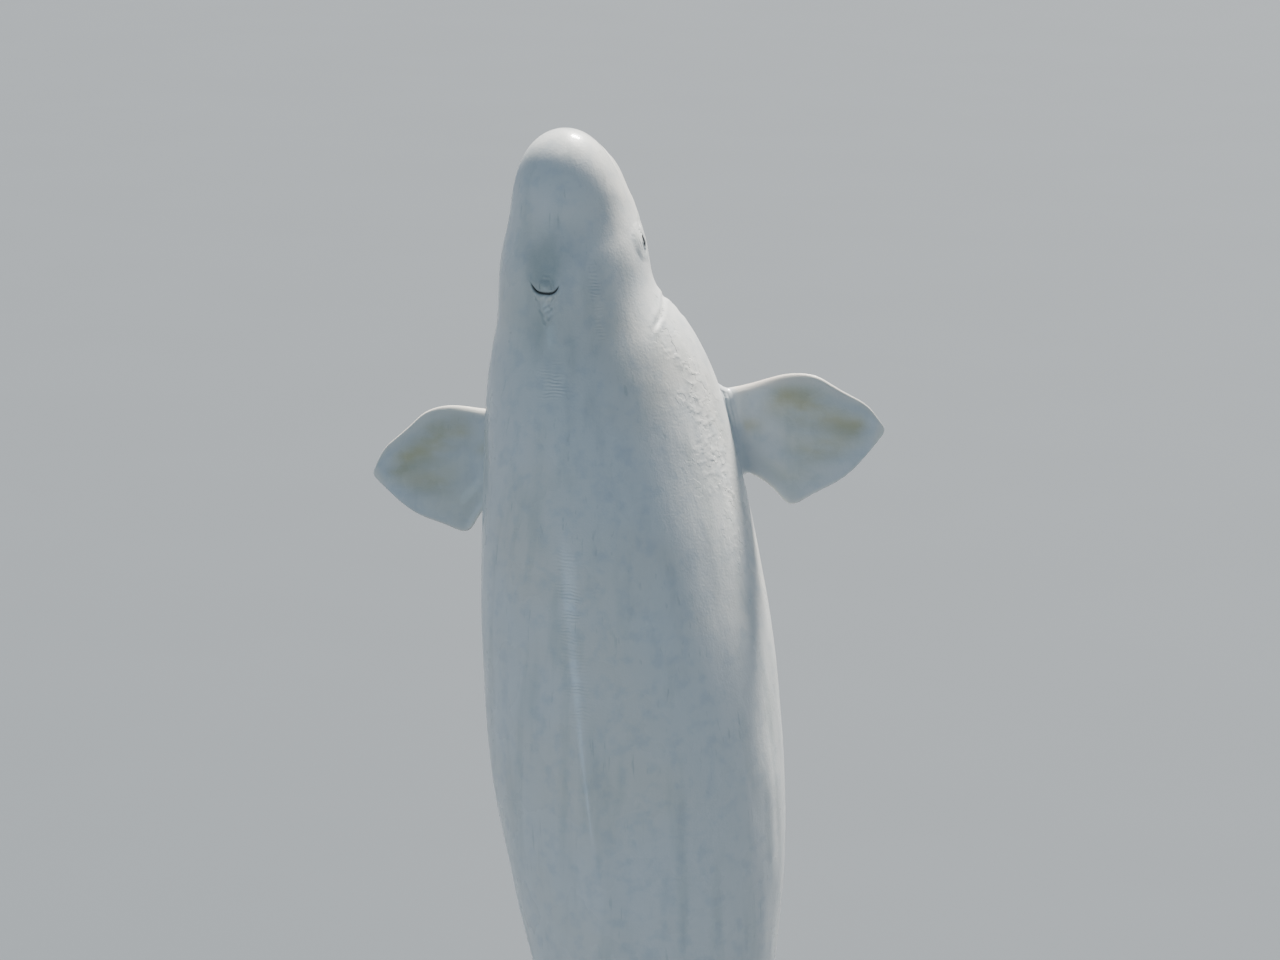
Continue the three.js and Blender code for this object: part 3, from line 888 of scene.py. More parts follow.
@dataclass
class SkinRelief:
    """Everything that stands out of the plain form or goes into it, as a height at each point."""

    form: BodyForm
    mouth: Mouth
    blowhole: Blowhole
    sockets: tuple[EyeSocket, ...]
    crest: Swell = Swell(0.020, 0.044)
    crest_stretch: Stretch = Stretch(1.000, 1.950, 1.950, 2.650)
    notches: Wave = Wave(0.10, 95)
    notched: Swell = Swell(1.0, 0.35, 1.950)
    folds: tuple[Fold, ...] = (
        Fold(0.526, 64, 122, -0.120, 0.0052, 0.0050, 0.0018),
        Fold(0.434, 98, 180, -0.012, 0.0070, 0.0046, 0.0014),
        Fold(0.386, 122, 180, 0.012, 0.0075, 0.0026, 0.0014),
        Fold(0.486, 106, 180, -0.008, 0.0085, 0.0042, 0.0022),
        Fold(0.516, 124, 180, 0.012, 0.0080, 0.0030, 0.0018),
        Fold(0.560, 118, 168, 0.010, 0.0100, 0.0032, 0.0018),
        Fold(0.612, 132, 180, -0.006, 0.0110, 0.0020, 0.0012),
    )
    folded: Pair = (0.30, 0.80)
    wander: Grain = Grain(0.006, 0.07, 3.0)
    rolls: Grain = Grain(0.0042, (0.75, 0.085, 0.085), 7.0)
    rolls_turn: Pair = (40, 95)
    rolls_stretch: Stretch = Stretch(0.55, 1.0, 2.6, 3.3)
    swells: Grain = Grain(0.0035, (0.34, 0.26, 0.26), 1.0)
    swells_stretch: Stretch = Stretch(0.20, 0.60, 3.0, 3.4)
    side_line: Swell = Swell(-0.0030, 7, 112)
    side_line_stretch: Stretch = Stretch(0.95, 1.25, 1.9, 2.5)
    wrinkles: Grain = Grain(1.0, (0.026, 0.030, 0.034), 11.0)
    wrinkle_height: float = 0.0012
    wrinkle_sharpness: float = 5.5
    wrinkle_warp: Grain = Grain(1.0, 0.075, 5.0)
    warp_ways: Triple = (0.030, 0.010, 0.022)
    peeling_turn: float = 78.0
    peeling_rises: tuple[Triple, ...] = ((-5.0, 0.52, 0.72), (14.0, 0.76, 1.10))
    peeling_width: float = 14.0
    peeling_stretch: Stretch = Stretch(0.47, 0.58, 0.95, 1.40)
    peeling_patches: Grain = Grain(1.0, 0.13, 21.0)
    patchy: Pair = (-0.42, 0.16)
    shown_from: float = 0.02
    nape_stretch: Stretch = Stretch(0.545, 0.575, 0.635, 0.660)
    nape_across: float = -0.004
    nape_half_width: float = 0.024
    nape_widening: float = 0.20
    nape_widens: float = 0.60
    side_ripples: Swell = Swell(0.7, 0.009, 0.118)
    side_ripples_stretch: Stretch = Stretch(0.30, 0.40, 0.52, 0.60)
    side_ripples_slant: float = 0.10
    side_ripples_along: float = 0.45
    ridge_ripples: Swell = Swell(0.7, 0.024)
    ridge_ripples_stretch: Stretch = Stretch(0.95, 1.10, 1.35, 1.60)
    navel_along: float = 1.74
    navel: tuple[Swell, Swell] = (Swell(-0.006, 0.0075), Swell(0.003, 0.007, 0.016))
    slits: tuple[Slit, ...] = (
        Slit(Stretch(2.328, 2.352, 2.468, 2.492), Swell(-0.007, 0.0042)),
        Slit(Stretch(2.543, 2.567, 2.588, 2.612), Swell(-0.006, 0.0042)),
    )
    ear: Pair = (0.432, -0.012)
    ear_relief: tuple[Swell, Swell] = (Swell(-0.003, 0.0030), Swell(0.0006, 0.003, 0.007))

    def turn(self, points: Array) -> Array:
        """Gives how far round from the back points are, in degrees, the same on both sides."""
        return np.abs(np.degrees(self.form.trunk_turn(points)))

    def ridge(self, points: Array) -> Array:
        """Gives the low ridge on the back that takes the place of a fin, slightly notched along its crest."""
        along = points[:, 0]
        notches = 1 + self.notches.at(along) * self.notched.at(along)
        return self.crest.at(points[:, 1]) * self.crest_stretch.share(along) * notches * (points[:, 2] > 0)

    def creases(self, points: Array) -> Array:
        """Gives the folds of the neck, cheeks and throat."""
        total = np.zeros(len(points))
        chosen = np.flatnonzero((points[:, 0] > self.folded[0]) & (points[:, 0] < self.folded[1]))
        here = points[chosen]
        along = here[:, 0] - self.wander.at(here)
        turn = self.turn(here)
        total[chosen] = sum(fold.relief(along, turn) for fold in self.folds)
        return total

    def blubber(self, points: Array) -> Array:
        """Gives the soft unevenness of the trunk: long rolls on the flanks and shallow swellings."""
        along = points[:, 0]
        turn = self.turn(points)
        rolls = self.rolls.at(points) * ease(turn, *self.rolls_turn) * self.rolls_stretch.share(along)
        swells = self.swells.at(points) * self.swells_stretch.share(along)
        return rolls + swells + self.side_line.at(turn) * self.side_line_stretch.share(along)

    def shoulder_wrinkles(self, points: Array) -> Array:
        """Gives the fine wavy wrinkles on the shoulders and down the front of the flanks."""
        total = np.zeros(len(points))
        strength = self.peeling(points)
        chosen = np.flatnonzero(strength > self.shown_from)
        here = points[chosen]
        warp = self.wrinkle_warp.at(here)[:, None] * np.array(self.warp_ways)
        sharp = 1 - np.abs(self.wrinkles.at(here + warp)) * self.wrinkle_sharpness
        total[chosen] = self.wrinkle_height * np.maximum(sharp, 0) * strength[chosen]
        return total

    def peeling(self, points: Array) -> Array:
        """Says how much the skin peels in wavy edges: in a band over each shoulder and down the flank."""
        along = points[:, 0]
        middle = self.peeling_turn + sum(rise * ease(along, *ends) for rise, *ends in self.peeling_rises)
        band = hump(self.turn(points) - middle, self.peeling_width) * self.peeling_stretch.share(along)
        patches = np.zeros(len(points))
        chosen = np.flatnonzero(band > self.shown_from)
        patches[chosen] = ease(self.peeling_patches.at(points[chosen]), *self.patchy)
        return band * patches

    def rippled(self, points: Array) -> Array:
        """Says where the skin has close ripples: on the nape, the ridge and a line down the right side."""
        along, across = points[:, 0], points[:, 1]
        nape_width = self.nape_half_width + self.nape_widening * np.clip(along - self.nape_widens, 0, 0.1)
        nape = hump(across - self.nape_across, nape_width) * self.nape_stretch.share(along)
        slanted = across - self.side_ripples_slant * (along - self.side_ripples_along)
        side = self.side_ripples.at(slanted) * self.side_ripples_stretch.share(along)
        lower = self.ridge_ripples.at(across) * self.ridge_ripples_stretch.share(along)
        return (nape + side + lower) * (points[:, 2] > 0)

    def belly_marks(self, points: Array) -> Array:
        """Gives the navel and the two slits behind it on the midline of the belly."""
        along, across = points[:, 0], points[:, 1]
        from_navel = np.hypot((along - self.navel_along) * 0.5, across)
        navel = sum(swell.at(from_navel) for swell in self.navel)
        slits = sum(slit.relief(along, across) for slit in self.slits)
        return (navel + slits) * (points[:, 2] < 0)

    def from_ear(self, points: Array) -> Array:
        """Gives how far from the ears points are, seen from the side."""
        return np.hypot(points[:, 0] - self.ear[0], points[:, 2] - self.ear[1])

    def heights(self, points: Array) -> Array:
        """Adds up the whole relief at points on the head and trunk."""
        total = self.ridge(points) + self.creases(points) + self.blubber(points)
        total = total + self.shoulder_wrinkles(points) + self.belly_marks(points)
        total = total + sum(swell.at(self.from_ear(points)) for swell in self.ear_relief)
        for detail in (self.mouth, self.blowhole, *self.sockets):
            total = total + detail.relief(points)
        return total


@dataclass
class SkinTint:
    """Where the skin's colour differs from its white, as shares from 0 to 1, painted shade in its creases and
    hollows among them.
    """

    relief: SkinRelief
    lips_dark: Swell = Swell(0.9, 0.0026)
    lips_to: float = 0.25
    slit_dark: Swell = Swell(1.0, 0.0025)
    slit_ends: Pair = (0.92, 1.18)
    lids_dark: Pair = (1.0, 1.30)
    ear_dark: Swell = Swell(1.0, 0.0030)
    ear_across: float = 0.1
    opening: float = 0.020
    widening: float = 0.34
    widening_to: float = 0.2
    # strength of the painted shade in the furrow ahead of the blowhole
    hollow: float = 1.45
    hollow_starts: Pair = (-0.012, 0.010)
    hollow_ends: Pair = (0.03, 0.20)
    halo: tuple[Swell, Swell] = (Swell(0.55, 0.085), Swell(1.0, 0.075, 0.470))
    nape: tuple[Swell, Swell] = (Swell(0.34, 0.16), Swell(1.0, 0.16, 0.56))
    lips_grey: Swell = Swell(0.45, 0.016)
    lips_grey_to: float = 0.26
    eyes_grey: Swell = Swell(0.55, 0.030)
    tail: float = 0.4
    tail_starts: Pair = (2.9, 3.5)
    most: float = 1.45

    def dark(self, points: Array) -> Array:
        """Gives the painted shade of the deep creases: lips, blowhole, lids and ears."""
        relief = self.relief
        behind, share = relief.blowhole.offsets(points)
        lips = self.lips_dark.at(relief.mouth.offset(points)) * relief.mouth.fading(points)
        slit = self.slit_dark.at(behind) * (1 - ease(np.abs(share), *self.slit_ends))
        ears = self.ear_dark.at(relief.from_ear(points)) * (np.abs(points[:, 1]) > self.ear_across)
        on_crown = points[:, 2] > relief.blowhole.lowest
        total = np.maximum(lips * (points[:, 0] < self.lips_to), slit * on_crown)
        for socket in relief.sockets:
            total = np.maximum(total, 1 - ease(socket.openness(points), *self.lids_dark))
        return np.maximum(total, ears)

    def grey(self, points: Array) -> Array:
        """Gives the grey-green cast: painted shade in the hollow ahead of the blowhole, and grey on the nape,
        the lips, eyes and tail.
        """
        relief = self.relief
        along = points[:, 0]
        ahead = relief.blowhole.along - along
        across = points[:, 1] - relief.blowhole.across
        width = self.opening + self.widening * np.clip(ahead, 0, self.widening_to)
        # painted shade in the furrow that runs from the melon to the blowhole
        hollow = hump(across, width) * ease(ahead, *self.hollow_starts) * (1 - ease(ahead, *self.hollow_ends))
        halo = self.halo[0].at(across) * self.halo[1].at(along)
        nape = self.nape[0].at(points[:, 1]) * self.nape[1].at(along)
        lips = self.lips_grey.at(relief.mouth.offset(points)) * relief.mouth.fading(points)
        total = (self.hollow * hollow + halo + nape) * (points[:, 2] > 0) + lips * (along < self.lips_grey_to)
        for socket in relief.sockets:
            total = total + self.eyes_grey.at(socket.offsets(points)[2])
        return np.clip(total + self.tail * ease(along, *self.tail_starts), 0, self.most)


@dataclass(frozen=True)
class FlipperLoop:
    """The open edge that is left in the skin for a flipper, and each corner's turn round the flipper."""

    flipper: Flipper
    edge: list[Vert]
    turns: Array


@dataclass
class WhaleSkin:
    """The one skin over the head, body, flippers and flukes."""

    form: BodyForm
    pose: Pose
    flukes: Flukes
    flippers: tuple[Flipper, ...]
    relief: SkinRelief
    tint: SkinTint
    sides: int = 176
    head_rows: int = 88
    fluke_rows: int = 40
    fine_step: float = 0.0065
    coarse_step: float = 0.024
    fine_to: float = 0.950
    coarse_from: float = 1.400
    hole_half_length: float = 0.128
    hole_half_turn: float = 11.0
    hole_reach: float = 2.6
    flare_rings: int = 20
    root_crease: float = 0.0035
    root_creases: tuple[Swell, Swell] = (Swell(1.0, 0.075, 0.34), Swell(0.6, 0.06, 0.62))
    # strength of the painted shade in the creases at the flippers' roots
    root_crease_shade: float = 0.55
    creased_side: Pair = (-0.2, 0.6)
    creased_front: Swell = Swell(1.0, 0.55, 0.45)
    blade_rings: int = 44
    flare_length: float = 0.028
    flare_look: float = 0.02
    flare_pulls: Pair = (0.6, 0.8)
    # painted shade: grey laid into the skin where its relief goes about 2 to 7 mm in
    hollow_shade_strength: float = 0.50
    deep: Pair = (0.0020, 0.0070)
    blade_starts: Pair = (3.45, 3.62)
    margin: float = 1e-4

    def trunk_rows(self) -> Array:
        """Gives where the trunk's rows lie, closer together behind the head than down the body."""
        rows = [self.form.head_end]
        while rows[-1] < self.form.tail_end:
            share = float(ease(rows[-1], self.fine_to, self.coarse_from))
            rows.append(rows[-1] + mixed(self.fine_step, self.coarse_step, share))
        rows = np.array(rows)
        scale = (self.form.tail_end - rows[0]) / (rows[-1] - rows[0])
        return rows[0] + (rows - rows[0]) * scale

    def plain_points(self) -> Array:
        """Gives the places of a grid's corners on the body, a row for each ring from the crown back."""
        turns = np.radians(np.linspace(0, 360, self.sides + 1))
        turns[-1] = 0.0
        shares = np.linspace(0, 1, self.head_rows + 1)[:-1]
        head = self.form.head_points(*np.meshgrid(shares, turns, indexing="ij"))
        head[0] = head[0, 0]
        trunk = self.form.trunk_points(*np.meshgrid(self.trunk_rows(), turns, indexing="ij"))
        shares = 1 - (1 - np.linspace(0, 1, self.fluke_rows + 1)[1:]) ** 1.25
        flukes = self.flukes.points(*np.meshgrid(shares, turns, indexing="ij"))
        return np.concatenate([head, trunk, flukes])

    def plain_body(self) -> Mesh:
        """Bends a grid into the closed plain body at rest."""
        points = self.plain_points()
        rows, columns = points.shape[:2]
        grid = bmesh.new()
        for layer in ("dark", "grey", "blade", "rim", "stain", "peel", "ripple"):
            grid.verts.layers.float.new(layer)
        bmesh.ops.create_grid(grid, x_segments=columns - 1, y_segments=rows - 1, size=1.0)
        for vert in grid.verts:
            column = round((vert.co.x + 1) / 2 * (columns - 1))
            row = round((vert.co.y + 1) / 2 * (rows - 1))
            vert.co = points[row, column]
        bmesh.ops.remove_doubles(grid, verts=grid.verts[:], dist=1e-5)
        bmesh.ops.dissolve_degenerate(grid, edges=grid.edges[:], dist=1e-6)
        bmesh.ops.recalc_face_normals(grid, faces=grid.faces[:])
        return grid

    def refine(self, body: Mesh, chosen: Callable[[Array], Array]) -> None:
        """Halves the faces in one area, for which a function says which of many points lie in it."""
        centres = np.array([face.calc_center_median() for face in body.faces])
        faces = [face for face, inside in zip(body.faces[:], chosen(centres)) if inside]
        edges = list({edge for face in faces for edge in face.edges})
        bmesh.ops.subdivide_edges(body, edges=edges, cuts=1, use_grid_fill=True)

    def refine_details(self, body: Mesh) -> None:
        """Halves the faces round the eyes, mouth, blowhole and shoulders, more often closer in."""
        mouth = self.relief.mouth
        blowhole = self.relief.blowhole
        for width in (0.020, 0.009):
            self.refine(body, lambda points, width=width: mouth.near(points, width))
        self.refine(body, blowhole.round_about)
        for width in (0.016, 0.0080):
            self.refine(body, lambda points, width=width: blowhole.near(points, width))
        for socket in self.relief.sockets:
            for width in (0.044, 0.030, 0.0185):
                self.refine(body, lambda points, width=width, socket=socket: socket.near(points, width))
        self.refine(body, self.on_shoulder)

    def on_shoulder(self, points: Array) -> Array:
        """Says which points lie where the right shoulder is finely wrinkled."""
        turn = np.degrees(self.form.trunk_turn(points))
        return (points[:, 0] > 0.50) & (points[:, 0] < 1.10) & (turn > 60) & (turn < 106)

    def settle(self, body: Mesh) -> None:
        """Puts the corners of the head and trunk exactly onto the plain form."""
        body.verts.ensure_lookup_table()
        points = np.array([vert.co for vert in body.verts])
        chosen = np.flatnonzero(points[:, 0] < self.form.tail_end - self.margin)
        for i, place in zip(chosen, self.form.settle(points[chosen])):
            body.verts[i].co = place

    def open_for(self, body: Mesh, flipper: Flipper) -> FlipperLoop:
        """Opens the skin where a flipper grows out, and draws the opening into an oval.

        Args:
            body: The mesh to open.
            flipper: The flipper that is to grow there.

        Returns:
            The opening's edge, in order, with the turn of each of its corners round the flipper.
        """
        side = flipper.side.value
        around = np.radians(np.arange(0, 360, 10))
        exits = flipper.rest_points(flipper.leaves_body(self.form, around), around)
        turns = np.degrees(self.form.trunk_turn(exits * np.array([1, side, 1])))
        middle_along = (exits[:, 0].max() + exits[:, 0].min()) / 2
        middle_turn = (turns.max() + turns.min()) / 2

        def shares(points: Array) -> tuple[Array, Array]:
            turn = np.degrees(self.form.trunk_turn(points * np.array([1, side, 1])))
            lengthwise = (points[:, 0] - middle_along) / self.hole_half_length
            return lengthwise, (turn - middle_turn) / self.hole_half_turn

        centres = np.array([face.calc_center_median() for face in body.faces])
        lengthwise, crosswise = shares(centres)
        inside = (np.abs(lengthwise) < 1) & (np.abs(crosswise) < 1) & (centres[:, 1] * side > 0)
        faces = [face for face, chosen in zip(body.faces[:], inside) if chosen]
        bmesh.ops.delete(body, geom=faces, context="FACES")
        edges = [edge for edge in body.edges if edge.is_boundary and edge.verts[0].co.y * side > 0]
        edge = self.in_order(edges)
        log.info("opening for flipper_%s: %d corners", flipper.side.word, len(edge))

        points = np.array([vert.co for vert in body.verts])
        lengthwise, crosswise = shares(points)
        lengths, crosses = shares(np.array([vert.co for vert in edge]))
        scale = np.array([np.abs(lengths).max(), np.abs(crosses).max()])
        lengthwise, crosswise = lengthwise / scale[0], crosswise / scale[1]
        square = np.maximum(np.abs(lengthwise), np.abs(crosswise))
        near = (square < self.hole_reach) & (points[:, 1] * side > 0) & (points[:, 0] > self.form.head_end)
        pull = 1 - ease(square, 1.0, self.hole_reach)
        factor = 1 + pull * (square / np.maximum(np.hypot(lengthwise, crosswise), 1e-9) - 1)
        chosen = np.flatnonzero(near)
        along = middle_along + (lengthwise * factor * scale[0])[chosen] * self.hole_half_length
        turn = middle_turn + (crosswise * factor * scale[1])[chosen] * self.hole_half_turn
        moved = self.form.trunk_points(along, np.radians(turn)) * np.array([1, side, 1])
        body.verts.ensure_lookup_table()
        for i, place in zip(chosen, moved):
            body.verts[i].co = place
        turns = np.arctan2(-crosses / scale[1], -lengths / scale[0])
        return FlipperLoop(flipper, edge, turns)

    @staticmethod
    def in_order(edges: list[Edge]) -> list[Vert]:
        """Lists the corners along a closed loop of edges."""
        inside = set(edges)
        start = edges[0].verts[0]
        corners = [start]
        edge = edges[0]
        corner = edge.other_vert(start)
        while corner != start:
            corners.append(corner)
            edge = next(other for other in corner.link_edges if other in inside and other != edge)
            corner = edge.other_vert(corner)
        return corners

    @staticmethod
    def next_ring(body: Mesh, ring: list[Vert]) -> list[Vert]:
        """Extrudes a ring of corners, and lists the new ones in the same order."""
        inside = set(ring)
        edges = [edge for edge in {edge for vert in ring for edge in vert.link_edges} if edge.is_boundary]
        edges = [edge for edge in edges if edge.verts[0] in inside and edge.verts[1] in inside]
        made = bmesh.ops.extrude_edge_only(body, edges=edges)["geom"]
        new = {vert for vert in made if isinstance(vert, Vert)}
        following = []
        for vert in ring:
            others = (edge.other_vert(vert) for edge in vert.link_edges)
            following.append(next(other for other in others if other in new))
        return following

    def grow(self, body: Mesh, loop: FlipperLoop) -> None:
        """Grows a flipper out of its opening: first the flare at its root, then the blade.

        Args:
            body: The posed mesh.
            loop: The opening's edge.
        """
        flipper = loop.flipper
        known = set(body.verts)
        outs = flipper.leaves_body(self.form, loop.turns) + self.flare_length / flipper.span
        ring = self.grow_flare(body, loop, outs)
        ring = self.grow_blade(body, loop, outs, ring)
        middle = sum((vert.co for vert in ring), Vector()) / len(ring)
        bmesh.ops.pointmerge(body, verts=ring, merge_co=middle)
        blade = body.verts.layers.float["blade"]
        for vert in body.verts:
            if vert not in known:
                vert[blade] = 1.0

    def grow_flare(self, body: Mesh, loop: FlipperLoop, outs: Array) -> list[Vert]:
        """Grows the soft flare from the body to the blade, with its creases and the painted shade in them.

        Args:
            body: The posed mesh.
            loop: The opening's edge.
            outs: How far out along the flipper the flare ends, for each corner.

        Returns:
            The last ring of corners.
        """
        flipper = loop.flipper
        starts = np.array([vert.co for vert in loop.edge])
        ends = flipper.posed(flipper.rest_points(outs, loop.turns))
        further = flipper.posed(flipper.rest_points(outs + self.flare_look, loop.turns))
        length = np.linalg.norm(ends - starts, axis=1, keepdims=True)
        start_ways = unit(starts.mean(axis=0) - starts) * length * self.flare_pulls[0]
        end_ways = unit(further - ends) * length * self.flare_pulls[1]
        topside = ease(np.sin(loop.turns), *self.creased_side) * self.creased_front.at(np.cos(loop.turns))
        grey = body.verts.layers.float["grey"]
        ring = loop.edge
        for step in range(1, self.flare_rings + 1):
            t = step / self.flare_rings
            places = (
                (2 * t**3 - 3 * t**2 + 1) * starts
                + (t**3 - 2 * t**2 + t) * start_ways
                + (3 * t**2 - 2 * t**3) * ends
                + (t**3 - t**2) * end_ways
            )
            strength = sum(crease.at(t) for crease in self.root_creases) * topside
            outward = unit(places - places.mean(axis=0))
            places = places - outward * (self.root_crease * strength)[:, None]
            ring = self.next_ring(body, ring)
            for vert, place, deep in zip(ring, places, strength):
                vert.co = place
                # painted shade, as deep as the root crease is
                vert[grey] = self.root_crease_shade * deep
        return ring

    def grow_blade(self, body: Mesh, loop: FlipperLoop, outs: Array, ring: list[Vert]) -> list[Vert]:
        """Grows the blade out to its tip, with its rim, partly a painted highlight, and its stains.

        Args:
            body: The posed mesh.
            loop: The opening's edge.
            outs: How far out along the flipper the blade starts, for each corner.
            ring: The ring of corners that it starts from.

        Returns:
            The last ring of corners, at the tip.
        """
        flipper = loop.flipper
        rim = body.verts.layers.float["rim"]
        stain = body.verts.layers.float["stain"]
        for step in range(1, self.blade_rings + 1):
            share = math.sin(math.pi / 2 * step / self.blade_rings)
            out = np.minimum(outs + (1 - outs) * share, 1.0)
            places = flipper.posed(flipper.rest_points(out, loop.turns))
            ring = self.next_ring(body, ring)
            edges = flipper.rim(out, loop.turns)
            stains = flipper.stain(out, loop.turns)
            for vert, place, edge, marked in zip(ring, places, edges, stains):
                vert.co = place
                vert[rim] = edge
                vert[stain] = marked
        return ring

    def build(self) -> Piece:
        """Builds the skin's mesh, posed, with its relief and its tints."""
        body = self.plain_body()
        self.refine_details(body)
        self.settle(body)
        loops = [self.open_for(body, flipper) for flipper in self.flippers]
        self.lift_and_pose(body)
        for loop in loops:
            self.grow(body, loop)
        bmesh.ops.recalc_face_normals(body, faces=body.faces[:])
        return finished_piece("whale_skin", body)

    def lift_and_pose(self, body: Mesh) -> None:
        """Gives the body its relief and its tints, with painted shade where the relief goes in, and carries
        it into the pose.
        """
        rest = np.array([vert.co for vert in body.verts])
        on_form = rest[:, 0] < self.form.tail_end - self.margin
        heights = np.zeros(len(rest))
        heights[on_form] = self.relief.heights(rest[on_form])
        lifted = rest.copy()
        lifted[on_form] += self.form.normals(rest[on_form]) * heights[on_form, None]
        # painted shade in the deep hollows of the relief, added to the grey layer
        painted_hollow_shade = self.hollow_shade_strength * ease(-heights, *self.deep)
        tints = {
            "dark": self.tint.dark(rest),
            "grey": np.clip(self.tint.grey(rest) + painted_hollow_shade, 0, 1),
            "blade": ease(rest[:, 0], *self.blade_starts),
            "peel": self.relief.peeling(rest),
            "ripple": self.relief.rippled(rest),
        }
        layers = [(body.verts.layers.float[name], values) for name, values in tints.items()]
        placed = self.pose.place(lifted)
        for i, vert in enumerate(body.verts):
            vert.co = placed[i]
            for layer, values in layers:
                vert[layer] = values[i]


def finished_piece(name: str, mesh: Mesh) -> Piece:
    """Turns a mesh into a smooth object of that name in the scene, and frees the mesh."""
    data = bpy.data.meshes.new(name)
    mesh.to_mesh(data)
    mesh.free()
    data.shade_smooth()
    piece = bpy.data.objects.new(name, data)
    bpy.context.scene.collection.objects.link(piece)
    return piece


def rise(edge: Edge) -> float:
    """Says how much higher one end of an edge is than the other."""
    return abs(edge.verts[0].co.z - edge.verts[1].co.z)


def place_of(pose: Pose, point: Array) -> Vector:
    """Gives where the pose puts one point."""
    return Vector(pose.place(np.asarray(point)[None])[0])


@dataclass(frozen=True)
class Pattern:
    """Smooth noise, of which the values between two levels are spread out over a range."""

    scale: float  # how many patches it has in a metre
    detail: float  # how many finer layers
    low: float
    high: float
    least: float = 0.0
    most: float = 1.0
    stretch: Triple = (1.0, 1.0, 1.0)  # how much closer together it lies along each axis


class Shader:
    """A material while it is made, with short ways to add its nodes."""

    def __init__(self, name: str) -> None:
        """Starts a material with its plain surface."""
        self.material = bpy.data.materials.new(name)
        self.material.use_nodes = True
        self.tree = self.material.node_tree
        self.surface = self.tree.nodes["Principled BSDF"]
        self.coordinates = self.tree.nodes.new("ShaderNodeTexCoord").outputs["Object"]

    def set(self, **values: float) -> None:
        """Sets sockets of the surface, named with underscores for spaces."""
        for name, value in values.items():
            self.surface.inputs[name.replace("_", " ")].default_value = value

    def link(self, output: Socket, name: str) -> None:
        """Feeds a socket of the surface."""
        self.tree.links.new(output, self.surface.inputs[name])

    def node(self, kind: str, result: str | int, **inputs: Socket | float | tuple[float, ...]) -> Socket:
        """Adds a node and feeds it.

        Args:
            kind: The node's type, without what all of them start with.
            result: The output that is wanted.
            inputs: What goes into it, fixed or from another node, named with underscores for spaces.

        Returns:
            The output.
        """
        node = self.tree.nodes.new(f"ShaderNode{kind}")
        for name, value in inputs.items():
            socket = node.inputs[name.replace("_", " ")]
            if isinstance(value, Socket):
                self.tree.links.new(value, socket)
            else:
                socket.default_value = value
        return node.outputs[result]

    def attribute(self, name: str) -> Socket:
        """Reads a value that the mesh holds at each corner."""
        value = self.node("Attribute", "Fac")
        value.node.attribute_name = name
        return value

    def noise(self, scale: float, detail: float, stretch: Triple = (1.0, 1.0, 1.0)) -> Socket:
        """Adds smooth noise in the piece's own space, from 0 to 1."""
        place = self.node("Mapping", "Vector", Vector=self.coordinates, Scale=stretch)
        return self.node("TexNoise", "Fac", Vector=place, Scale=scale, Detail=detail)

    def waves(self, scale: float, distortion: float, detail_scale: float) -> Socket:
        """Adds uneven level ripples, about three times the scale in a metre."""
        bends = {"Distortion": distortion, "Detail": 2.0, "Detail_Scale": detail_scale}
        ripples = self.node("TexWave", "Fac", Vector=self.coordinates, Scale=scale, **bends)
        ripples.node.bands_direction = "Z"
        return ripples

    def spread(self, value: Socket, low: float, high: float, least: float = 0.0, most: float = 1.0) -> Socket:
        """Carries the values between two levels smoothly over to another range, and holds the rest."""
        spread = self.node("MapRange", "Result", From_Min=low, From_Max=high, To_Min=least, To_Max=most)
        spread.node.interpolation_type = "SMOOTHSTEP"
        self.tree.links.new(value, spread.node.inputs["Value"])
        return spread

    def pattern(self, pattern: Pattern) -> Socket:
        """Adds noise and spreads it out."""
        values = self.noise(pattern.scale, pattern.detail, pattern.stretch)
        return self.spread(values, pattern.low, pattern.high, pattern.least, pattern.most)

    def times(self, first: Socket, second: Socket | float) -> Socket:
        """Multiplies two values."""
        product = self.node("Math", "Value")
        product.node.operation = "MULTIPLY"
        for socket, value in zip(product.node.inputs, (first, second)):
            if isinstance(value, Socket):
                self.tree.links.new(value, socket)
            else:
                socket.default_value = value
        return product

    def tinted(self, base: Socket | Colour, colour: Colour, share: Socket) -> Socket:
        """Lays a colour over another, which may be fixed too, by a share."""
        return colour_mix(self.tree, base, colour, share)

    def bumped(self, height: Socket, depth: float, below: Socket | None = None) -> Socket:
        """Turns heights into fine relief.

        Args:
            height: The height's pattern.
            depth: The distance in metres from its lowest to its highest.
            below: Relief that this one lies on.

        Returns:
            The bent normal.
        """
        under = {} if below is None else {"Normal": below}
        return self.node("Bump", "Normal", Distance=depth, Height=height, **under)


def colour_mix(tree: bpy.types.NodeTree, base: Socket | Colour, colour: Colour, share: Socket) -> Socket:
    """Adds a node that lays a colour over another.

    Args:
        tree: Where to add it.
        base: The colour below, from a node or fixed.
        colour: The colour on top.
        share: How much of it shows.

    Returns:
        The mixed colour.
    """
    node = tree.nodes.new("ShaderNodeMix")
    node.data_type = "RGBA"
    below, above = (socket for socket in node.inputs if socket.type == "RGBA")
    if isinstance(base, Socket):
        tree.links.new(base, below)
    else:
        below.default_value = (*base, 1.0)
    above.default_value = (*colour, 1.0)
    tree.links.new(share, node.inputs["Factor"])
    return next(socket for socket in node.outputs if socket.type == "RGBA")


